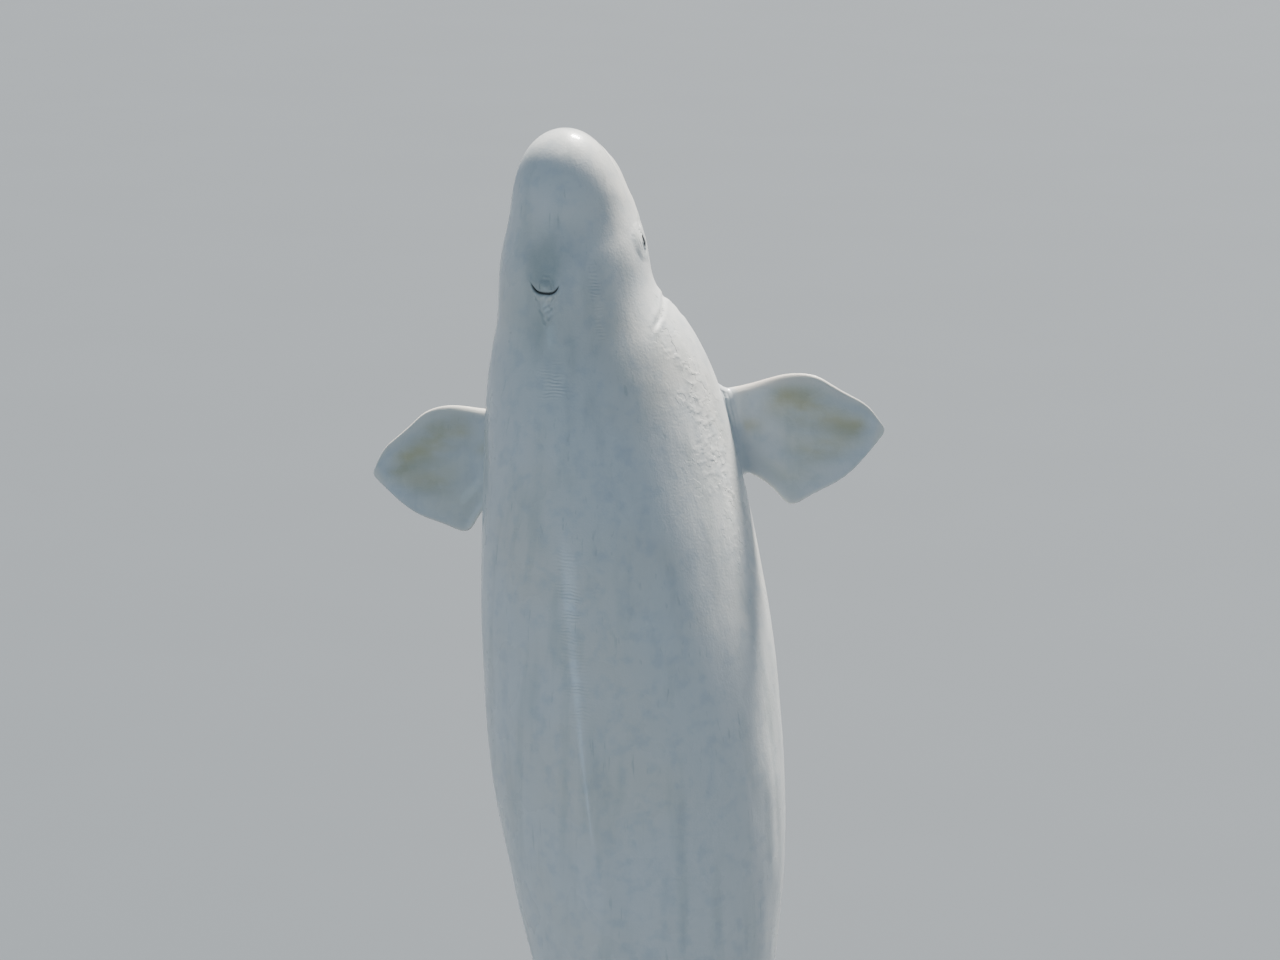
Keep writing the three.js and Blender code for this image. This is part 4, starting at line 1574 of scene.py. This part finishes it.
@dataclass(frozen=True)
class SkinFinish:
    """Wet white skin, greyer in hollows with painted shade; on the blades a bluish painted shade, cream rims
    that are partly a painted highlight, and olive.
    """

    white: Colour = (0.80, 0.81, 0.79)
    cream: Colour = (0.83, 0.77, 0.66)
    grey: Colour = (0.28, 0.35, 0.33)
    blue: Colour = (0.44, 0.52, 0.59)
    olive: Colour = (0.52, 0.48, 0.26)
    # cream rim, paler than the white skin: partly its own tone, partly a painted highlight along the lit
    # edges
    rim: Colour = (0.90, 0.86, 0.76)
    pink: Colour = (0.74, 0.56, 0.50)
    # near-black painted shade for the deep creases of the lips, blowhole, lids and ears
    dark: Colour = (0.030, 0.030, 0.032)
    roughness: Pair = (0.22, 0.44)
    patches: Pair = (7.0, 4.0)  # how many in a metre, and their finer layers
    clouds: Pattern = Pattern(2.2, 3, 0.42, 0.68, most=0.50)
    mottling: Pattern = Pattern(24.0, 5, 0.46, 0.72, most=0.28)
    streaks: Pattern = Pattern(16.0, 5, 0.50, 0.72, most=0.20, stretch=(1.0, 1.0, 0.14))
    scratches: Pattern = Pattern(85.0, 2, 0.63, 0.71, most=0.26, stretch=(1.0, 1.0, 0.045))
    cloudy_stains: Pattern = Pattern(13.0, 5, 0.32, 0.62, 0.42, 1.0, (0.6, 1.0, 1.3))
    flush: Pattern = Pattern(5.0, 2, 0.5, 0.7, most=0.35)
    peeling_lines: Pattern = Pattern(21.0, 3, 0.485, 0.50)
    peeling_gaps: Pattern = Pattern(13.0, 2, 0.42, 0.60, 0.25, 1.0, (1.3, 1.3, 0.8))
    ripple_gaps: Pattern = Pattern(38.0, 3, 0.42, 0.58, 0.1, 1.0, (0.5, 0.5, 1.0))
    # strengths of: the cast with its painted shade, the blades' painted bluish shade, stains, rims partly
    # painted as highlights, and the painted shade of creases
    strengths: tuple[float, ...] = (0.62, 0.28, 0.85, 0.9, 0.9)  # of cast, blade, stains, rims and creases
    depths: tuple[float, ...] = (0.0010, 0.00045, 0.0017, 0.0011)  # of grain, pores, peeling and ripples

    def material(self) -> bpy.types.Material:
        """Makes the material."""
        shader = Shader("skin")
        patches = shader.noise(*self.patches)
        colour = self.blade_colour(shader, self.body_colour(shader, patches))
        # painted shade: the deep creases are darkened towards near-black
        creases = shader.times(shader.attribute("dark"), self.strengths[4])
        shader.link(shader.tinted(colour, self.dark, creases), "Base Color")
        shader.link(shader.spread(patches, 0.35, 0.65, *self.roughness), "Roughness")
        shader.link(self.fine_relief(shader), "Normal")
        shader.set(Coat_Weight=0.40, Coat_Roughness=0.10, IOR=1.42)
        return shader.material

    def fine_relief(self, shader: Shader) -> Socket:
        """Gives the skin's grain and pores, the thin wavy edges of its peeling and its close ripples."""
        peeling = shader.times(shader.pattern(self.peeling_lines), shader.pattern(self.peeling_gaps))
        ripples = shader.times(shader.waves(36.0, 7.0, 0.6), shader.pattern(self.ripple_gaps))
        heights = (
            shader.noise(30.0, 5, (1.0, 1.0, 0.35)),
            shader.noise(170.0, 4),
            shader.times(peeling, shader.attribute("peel")),
            shader.times(ripples, shader.attribute("ripple")),
        )
        relief = None
        for height, depth in zip(heights, self.depths):
            relief = shader.bumped(height, depth, relief)
        return relief

    def body_colour(self, shader: Shader, patches: Socket) -> Socket:
        """Gives white with cream clouds, mottling, streaks, thin scratches and the grey cast, which holds
        painted shade in hollows and creases.
        """
        scratches = shader.times(shader.pattern(self.scratches), shader.spread(patches, 0.48, 0.62))
        # the grey cast carries the painted shade of the hollows and creases
        cast = shader.times(shader.attribute("grey"), shader.spread(patches, 0.30, 0.62, 0.55, 1.0))
        colour = self.white
        for above, share in (
            (self.cream, shader.pattern(self.clouds)),
            (self.blue, shader.pattern(self.mottling)),
            (self.grey, shader.pattern(self.streaks)),
            (self.grey, scratches),
            (self.grey, shader.times(cast, self.strengths[0])),
        ):
            colour = shader.tinted(colour, above, share)
        return colour

    def blade_colour(self, shader: Shader, colour: Socket) -> Socket:
        """Adds a bluish painted shade, olive patches and the cream and pink rims of the flippers and flukes,
        the cream rims partly a painted highlight.
        """
        rim = shader.attribute("rim")
        cloudy = shader.times(shader.pattern(self.cloudy_stains), self.strengths[2])
        for above, share in (
            # bluish painted shade over the flippers and flukes
            (self.blue, shader.times(shader.attribute("blade"), self.strengths[1])),
            (self.olive, shader.times(shader.attribute("stain"), cloudy)),
            # cream rim, partly a painted highlight along the front edge and tip
            (self.rim, shader.times(rim, self.strengths[3])),
            (self.pink, shader.times(rim, shader.pattern(self.flush))),
        ):
            colour = shader.tinted(colour, above, share)
        return colour


@dataclass(frozen=True)
class EyeFinish:
    """A dark wet eye: pupil, brown iris and a dusky white that hardly shows."""

    pupil: Colour = (0.004, 0.004, 0.005)
    iris: Colour = (0.032, 0.019, 0.011)
    outer: Colour = (0.050, 0.040, 0.036)
    fibres: Pattern = Pattern(900.0, 3, 0.35, 0.65, most=0.5)
    pupil_edge: Pair = (11, 15)
    iris_edge: Pair = (36, 41)
    ring_edges: tuple[float, ...] = (31, 37, 38, 43)

    def material(self) -> bpy.types.Material:
        """Makes the material. Its bounds are angles from the middle of the pupil, in degrees."""
        shader = Shader("eye")
        angle = shader.attribute("angle")
        inner = shader.spread(angle, *self.ring_edges[:2], 0.0, 0.8)
        ring = shader.times(inner, shader.spread(angle, *self.ring_edges[2:], 1.0, 0.0))
        colour = shader.tinted(self.iris, self.pupil, shader.pattern(self.fibres))
        colour = shader.tinted(colour, self.outer, shader.spread(angle, *self.iris_edge))
        colour = shader.tinted(colour, self.pupil, ring)
        colour = shader.tinted(colour, self.pupil, shader.spread(angle, *self.pupil_edge, 1.0, 0.0))
        shader.link(colour, "Base Color")
        shader.set(Roughness=0.06, Coat_Weight=1.0, Coat_Roughness=0.02, IOR=1.38)
        return shader.material


@dataclass(frozen=True)
class StandFinish:
    """A finish of the stand: two tones, a roughness that varies with them and a fine grain."""

    name: str
    colour: Colour
    worn: Colour
    clouds: Pattern
    rough_clouds: Pattern
    grain: Pair  # how many in a metre, and their finer layers
    grain_depth: float
    metallic: float = 0.0

    def material(self) -> bpy.types.Material:
        """Makes the material."""
        shader = Shader(self.name)
        shader.link(shader.tinted(self.colour, self.worn, shader.pattern(self.clouds)), "Base Color")
        shader.link(shader.pattern(self.rough_clouds), "Roughness")
        stretch = self.clouds.stretch
        shader.link(shader.bumped(shader.noise(*self.grain, stretch), self.grain_depth), "Normal")
        shader.set(Metallic=self.metallic)
        return shader.material


BRUSHED = (1.0, 1.0, 22.0)
PAINT = StandFinish(
    name="stand_base",
    colour=(0.034, 0.037, 0.041),
    worn=(0.060, 0.064, 0.068),
    clouds=Pattern(3.0, 4, 0.4, 0.7, most=0.6),
    rough_clouds=Pattern(3.0, 4, 0.3, 0.7, 0.38, 0.50),
    grain=(420.0, 2),
    grain_depth=0.00025,
)
STEEL = StandFinish(
    name="stand_rod",
    colour=(0.56, 0.565, 0.57),
    worn=(0.36, 0.365, 0.37),
    clouds=Pattern(60.0, 5, 0.35, 0.7, most=0.6, stretch=BRUSHED),
    rough_clouds=Pattern(60.0, 5, 0.3, 0.7, 0.24, 0.40, BRUSHED),
    grain=(60.0, 5),
    grain_depth=0.00012,
    metallic=1.0,
)
RUBBER = StandFinish(
    name="stand_cup",
    colour=(0.022, 0.022, 0.024),
    worn=(0.050, 0.050, 0.050),
    clouds=Pattern(45.0, 5, 0.45, 0.75, most=0.7),
    rough_clouds=Pattern(45.0, 5, 0.0, 1.0, 0.68, 0.68),
    grain=(600.0, 2),
    grain_depth=0.0002,
)


def dressed(piece: Piece, material: bpy.types.Material, slot: str, *nodes: str) -> Piece:
    """Gives a piece its finish, lets it ride on the model and hides the nodes that it stands for.

    Args:
        piece: The piece.
        material: Its finish.
        slot: The record's material slot; not used.
        nodes: The nodes that it replaces.

    Returns:
        The piece.
    """
    piece.data.materials.clear()
    piece.data.materials.append(material)
    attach(piece, BODY)
    if nodes:
        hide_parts(*nodes)
    log.info("%s: %d faces", piece.name, len(piece.data.polygons))
    return piece


@dataclass
class Eyeball:
    """One eye, which looks out between the lids of its socket."""

    socket: EyeSocket
    pose: Pose
    cornea_angle: float = 36.0
    cornea_rise: float = 0.0011
    across: int = 56
    deep: int = 40

    def build(self) -> Piece:
        """Builds the eyeball with its clear front standing out a little."""
        centre = place_of(self.pose, self.socket.centre)
        gaze = (place_of(self.pose, self.socket.centre + self.socket.outward * 0.05) - centre).normalized()
        ball = bmesh.new()
        angle_layer = ball.verts.layers.float.new("angle")
        bmesh.ops.create_uvsphere(
            ball, u_segments=self.across, v_segments=self.deep, radius=self.socket.radius
        )
        turn = Vector((0, 0, 1)).rotation_difference(gaze).to_matrix().to_4x4()
        for vert in ball.verts:
            angle = math.degrees(vert.co.angle(Vector((0, 0, 1))))
            vert[angle_layer] = angle
            rise = self.cornea_rise * (1 - float(ease(angle, 0.45 * self.cornea_angle, self.cornea_angle)))
            vert.co += vert.co.normalized() * rise
        bmesh.ops.transform(ball, matrix=Matrix.Translation(centre) @ turn, verts=ball.verts[:])
        return finished_piece(f"eyeball_{self.socket.side.word}", ball)


@dataclass
class StandBase:
    """The flat base, with round corners and softened edges."""

    high: float = 0.050
    wide: float = 1.500
    deep: float = 1.300
    corner: float = 0.160
    bevel: float = 0.008

    def build(self) -> Piece:
        """Builds the plate from a block."""
        plate = bmesh.new()
        bmesh.ops.create_cube(plate, size=1.0)
        bmesh.ops.scale(plate, vec=(self.wide, self.deep, self.high), verts=plate.verts[:])
        bmesh.ops.translate(plate, vec=(0, 0, self.high / 2), verts=plate.verts[:])
        upright = [edge for edge in plate.edges if rise(edge) > self.high / 2]
        self.round_off(plate, upright, self.corner, 20)
        rims = [edge for edge in plate.edges if rise(edge) < 1e-6]
        self.round_off(plate, rims, self.bevel, 4)
        piece = finished_piece("base_plate", plate)
        piece.data.set_sharp_from_angle(angle=math.radians(30))
        return piece

    @staticmethod
    def round_off(plate: Mesh, edges: list[Edge], offset: float, segments: int) -> None:
        """Rounds edges off."""
        sizes = {"offset": offset, "segments": segments, "profile": 0.5}
        bmesh.ops.bevel(plate, geom=edges, affect="EDGES", material=-1, clamp_overlap=True, **sizes)


@dataclass
class StandRod:
    """A rod with a bolted foot, a clamping collar and a rubber cup that fits the belly."""

    word: str
    along: float
    share: float
    cup_high: float
    form: BodyForm
    pose: Pose
    radius: float = 0.030
    foot_radius: float = 0.090
    foot_high: float = 0.018
    foot_edge: float = 0.005
    cup_radius: float = 0.046
    cup_slope: float = 0.024
    collar_radius: float = 0.0425
    collar_high: float = 0.030
    sides: int = 64
    bolts: int = 4
    bolt_ring: float = 0.066
    bolt_across: float = 0.0105
    bolt_high: float = 0.009
    bolt_edge: float = 0.0007
    washer_share: float = 1.35
    washer_high: float = 0.0018
    weld: float = 0.007
    chamfer: float = 0.0025
    round_steps: int = 4
    foot_relief: float = 0.001
    collar_gap: float = 0.004
    cup_sunk: float = 0.004
    rod_sharp: float = 32.0
    cup_sharp: float = 40.0
    cup_wall: float = 0.03

    def __post_init__(self) -> None:
        """Finds where the rod stands and how high it goes."""
        depth = self.share * float(self.form.belly(self.along))
        self.end = place_of(self.pose, np.array([self.along, 0.0, -depth]))
        self.foot_low = StandBase.high
        self.cup_low = self.end.z - self.cup_high

    def turned(self, profile: list[Pair]) -> Mesh:
        """Turns a profile of (out, up) round the rod's middle into a closed solid."""
        solid = bmesh.new()
        corners = [solid.verts.new((out, 0.0, up)) for out, up in profile]
        edges = [solid.edges.new(pair) for pair in zip(corners, corners[1:])]
        whole = {"cent": (0, 0, 0), "axis": (0, 0, 1), "angle": math.tau, "use_merge": True}
        bmesh.ops.spin(solid, geom=corners + edges, steps=self.sides, **whole)
        bmesh.ops.remove_doubles(solid, verts=solid.verts[:], dist=1e-6)
        bmesh.ops.recalc_face_normals(solid, faces=solid.faces[:])
        bmesh.ops.translate(solid, vec=(self.end.x, self.end.y, 0), verts=solid.verts[:])
        return solid

    def rod(self) -> Piece:
        """Builds the rod with its foot, the weld round it and the collar."""
        low = self.foot_low
        top = low + self.foot_high
        edge = self.foot_edge
        weld = self.weld
        chamfer = self.chamfer
        quarters = [math.pi / 2 * step / self.round_steps for step in range(self.round_steps + 1)]
        relief = self.foot_relief
        profile = [(0.0, low), (self.foot_radius - relief, low), (self.foot_radius, low + relief)]
        inner = self.foot_radius - edge
        profile += [(inner + edge * math.cos(turn), top - edge + edge * math.sin(turn)) for turn in quarters]
        outer = self.radius + weld
        profile += [(outer - weld * math.sin(turn), top + weld - weld * math.cos(turn)) for turn in quarters]
        collar = self.cup_low - self.collar_gap
        under, wide = collar - self.collar_high, self.collar_radius
        profile += [(self.radius, under), (wide - chamfer, under), (wide, under + chamfer)]
        profile += [(wide, collar - chamfer), (wide - chamfer, collar), (self.radius, collar)]
        tip = self.cup_low + self.cup_slope
        profile += [(self.radius, tip), (0.0, tip)]
        solid = self.turned(profile)
        self.add_bolts(solid, top)
        piece = finished_piece(f"rod_{self.word}", solid)
        piece.data.set_sharp_from_angle(angle=math.radians(self.rod_sharp))
        return piece

    def add_bolts(self, solid: Mesh, top: float) -> None:
        """Adds six-sided bolt heads on round washers to the foot."""
        washer = self.washer_high
        for number in range(self.bolts):
            turn = math.tau * (number + 0.5) / self.bolts
            out = Vector((math.cos(turn), math.sin(turn), 0)) * self.bolt_ring
            place = Vector((self.end.x, self.end.y, top)) + out
            self.add_drum(solid, place, self.bolt_across * self.washer_share, (0.0, washer), 32)
            self.add_drum(solid, place, self.bolt_across, (washer, self.bolt_high), 6)

    def add_drum(self, solid: Mesh, place: Vector, radius: float, heights: Pair, sides: int) -> None:
        """Adds a short upright drum with a softened rim.

        Args:
            solid: The mesh to add it to.
            place: The foot of its axis.
            radius: Its radius.
            heights: How high over its place it begins and ends.
            sides: How many sides it has.
        """
        low, high = heights
        made = bmesh.ops.create_cone(
            solid,
            cap_ends=True,
            segments=sides,
            radius1=radius,
            radius2=radius,
            depth=high - low,
            matrix=Matrix.Translation(place + Vector((0, 0, (low + high) / 2))),
        )["verts"]
        level = place.z + high - 1e-5
        edges = {edge for vert in made for edge in vert.link_edges}
        rim = [edge for edge in edges if all(vert.co.z > level for vert in edge.verts)]
        bmesh.ops.bevel(
            solid, geom=rim, offset=self.bolt_edge, segments=2, profile=0.5, affect="EDGES", material=-1
        )

    def cup(self, skin: BVHTree) -> Piece:
        """Builds the rubber cup, its rim cut to the skin that it holds."""
        low = self.cup_low
        top = self.end.z + 0.001
        inner, outer, shoulder = self.radius, self.cup_radius, low + self.cup_slope
        profile = [(0.0, low), (inner + 0.001, low), (inner + 0.004, low + 0.002)]
        profile += [(outer - 0.002, shoulder), (outer, shoulder + 0.006), (outer, self.end.z)]
        profile += [(outer - 0.002, top), (outer - 0.012, top), (0.0, top)]
        solid = self.turned(profile)
        for vert in solid.verts:
            if vert.co.z > self.end.z - 0.01:
                below = Vector((vert.co.x, vert.co.y, self.foot_low))
                place, _, _, _ = skin.ray_cast(below, Vector((0, 0, 1)))
                vert.co.z = place.z + self.cup_sunk
        walls = [edge for edge in solid.edges if rise(edge) > self.cup_wall]
        bmesh.ops.subdivide_edges(solid, edges=walls, cuts=6)
        piece = finished_piece(f"cup_{self.word}", solid)
        piece.data.set_sharp_from_angle(angle=math.radians(self.cup_sharp))
        return piece


@dataclass
class Stage:
    """The pale floor, the soft light and the camera."""

    target: Triple = (-0.0245, -0.0110, 2.8914)
    azimuth: float = 20.0
    elevation: float = 13.0
    distance: float = 10.0
    focal_pixels: float = 4041.0
    image_width: float = 1280.0
    sensor: float = 36.0
    farthest_seen: float = 1000.0
    floor_size: float = 240.0
    floor_colour: Colour = (0.078, 0.092, 0.107)
    floor_clouds: Pattern = Pattern(0.7, 3, 0.35, 0.65, most=0.25)
    floor_paler: float = 1.08
    floor_roughness: float = 0.85
    horizon_colour: Colour = (0.40, 0.47, 0.54)
    horizon_to: Pair = (0.14, 0.34)
    sky_colour: Colour = (0.10, 0.17, 0.26)
    key_energy: float = 15.5
    key_angle: float = 13.0
    key_colour: Colour = (1.0, 0.96, 0.89)
    key_way: Triple = (0.12, 1.22, 2.05)
    fill_energy: float = 46.0
    fill_size: Pair = (1.6, 3.0)
    fill_colour: Colour = (0.48, 0.73, 1.0)
    fill_way: Triple = (-0.42, -1.15, 0.42)
    light_distance: float = 6.0

    def build(self) -> None:
        """Lays the floor, hangs the lights and sets up the camera."""
        self.floor()
        self.sky()
        self.lights()
        self.camera()

    def floor(self) -> None:
        """Lays a wide plain floor at the foot of the stand."""
        mesh = bmesh.new()
        bmesh.ops.create_grid(mesh, x_segments=4, y_segments=4, size=self.floor_size / 2)
        floor = finished_piece("floor", mesh)
        shader = Shader("floor")
        paler = tuple(value * self.floor_paler for value in self.floor_colour)
        shader.link(shader.tinted(self.floor_colour, paler, shader.pattern(self.floor_clouds)), "Base Color")
        shader.set(Roughness=self.floor_roughness)
        floor.data.materials.append(shader.material)

    def sky(self) -> None:
        """Spreads an even sky that is as pale as the floor down at the horizon."""
        world = bpy.data.worlds.new("sky")
        world.use_nodes = True
        nodes, links = world.node_tree.nodes, world.node_tree.links
        parts = nodes.new("ShaderNodeSeparateXYZ")
        links.new(nodes.new("ShaderNodeTexCoord").outputs["Generated"], parts.inputs["Vector"])
        climb = nodes.new("ShaderNodeMapRange")
        climb.interpolation_type = "SMOOTHSTEP"
        for name, value in zip(("From Min", "From Max"), self.horizon_to):
            climb.inputs[name].default_value = value
        links.new(parts.outputs["Z"], climb.inputs["Value"])
        colour = colour_mix(world.node_tree, self.horizon_colour, self.sky_colour, climb.outputs["Result"])
        links.new(colour, nodes["Background"].inputs["Color"])
        bpy.context.scene.world = world

    def lights(self) -> None:
        """Hangs a high soft key light ahead of the whale, and a cool fill at its back."""
        key = bpy.data.lights.new("key", "SUN")
        key.energy = self.key_energy
        key.angle = math.radians(self.key_angle)
        key.color = self.key_colour
        self.aim(key, Vector(self.key_way))
        fill = bpy.data.lights.new("fill", "AREA")
        fill.shape = "RECTANGLE"
        fill.size, fill.size_y = self.fill_size
        fill.energy = self.fill_energy
        fill.color = self.fill_colour
        self.aim(fill, Vector(self.fill_way))

    def aim(self, light: bpy.types.Light, towards: Vector) -> None:
        """Hangs a light out in one direction, shining back at the model."""
        lamp = bpy.data.objects.new(light.name, light)
        lamp.location = towards * self.light_distance
        lamp.rotation_euler = towards.to_track_quat("Z", "Y").to_euler()
        bpy.context.scene.collection.objects.link(lamp)

    def camera(self) -> None:
        """Sets the camera up where the photograph was taken from."""
        data = bpy.data.cameras.new("camera")
        data.sensor_width = self.sensor
        data.sensor_fit = "HORIZONTAL"
        data.lens = self.focal_pixels / self.image_width * self.sensor
        data.clip_end = self.farthest_seen
        azimuth = math.radians(self.azimuth)
        elevation = math.radians(self.elevation)
        level = Vector((math.sin(azimuth), -math.cos(azimuth), 0)) * math.cos(elevation)
        back = level + Vector((0, 0, math.sin(elevation)))
        camera = bpy.data.objects.new("camera", data)
        camera.location = Vector(self.target) + back * self.distance
        camera.rotation_euler = back.to_track_quat("Z", "Y").to_euler()
        bpy.context.scene.collection.objects.link(camera)
        bpy.context.scene.camera = camera


def build_skin(form: BodyForm, pose: Pose, sockets: tuple[EyeSocket, ...]) -> Piece:
    """Builds the skin, its relief, its tints and its finish."""
    relief = SkinRelief(form, Mouth(), Blowhole(), sockets)
    flippers = tuple(Flipper(side, pose) for side in Side)
    skin = WhaleSkin(form, pose, Flukes(form), flippers, relief, SkinTint(relief)).build()
    flesh = ["head", "lower_jaw", "neck", "chest", "abdomen", "tail_stock"]
    flesh += [f"{limb}_{side.word}" for limb in ("fluke", "flipper") for side in Side]
    return dressed(skin, SkinFinish().material(), "skin", *flesh)


def build_stand(form: BodyForm, pose: Pose, skin: Piece) -> None:
    """Builds the base and the two rods, their cups fitted to the skin."""
    dressed(StandBase().build(), PAINT.material(), "stand_base", "stand_base")
    shape = bmesh.new()
    shape.from_mesh(skin.data)
    surface = BVHTree.FromBMesh(shape)
    shape.free()
    steel = STEEL.material()
    rubber = RUBBER.material()
    rods = (
        StandRod("front", 2.180, 0.62, 0.250, form, pose),
        StandRod("back", 2.960, 0.50, 0.150, form, pose),
    )
    for rod in rods:
        dressed(rod.rod(), steel, "stand_rod", f"stand_rod_{rod.word}")
        dressed(rod.cup(surface), rubber, "stand_rod")


def main() -> None:
    """Builds the whole model and its stage."""
    logging.basicConfig(level=logging.INFO, format="%(message)s")
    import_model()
    Stage().build()
    form = BodyForm()
    pose = Pose()
    sockets = tuple(EyeSocket(side, form) for side in Side)
    skin = build_skin(form, pose, sockets)
    eye_finish = EyeFinish().material()
    for socket in sockets:
        dressed(Eyeball(socket, pose).build(), eye_finish, "eye", f"eye_{socket.side.word}")
    build_stand(form, pose, skin)


if __name__ == "__main__":
    main()
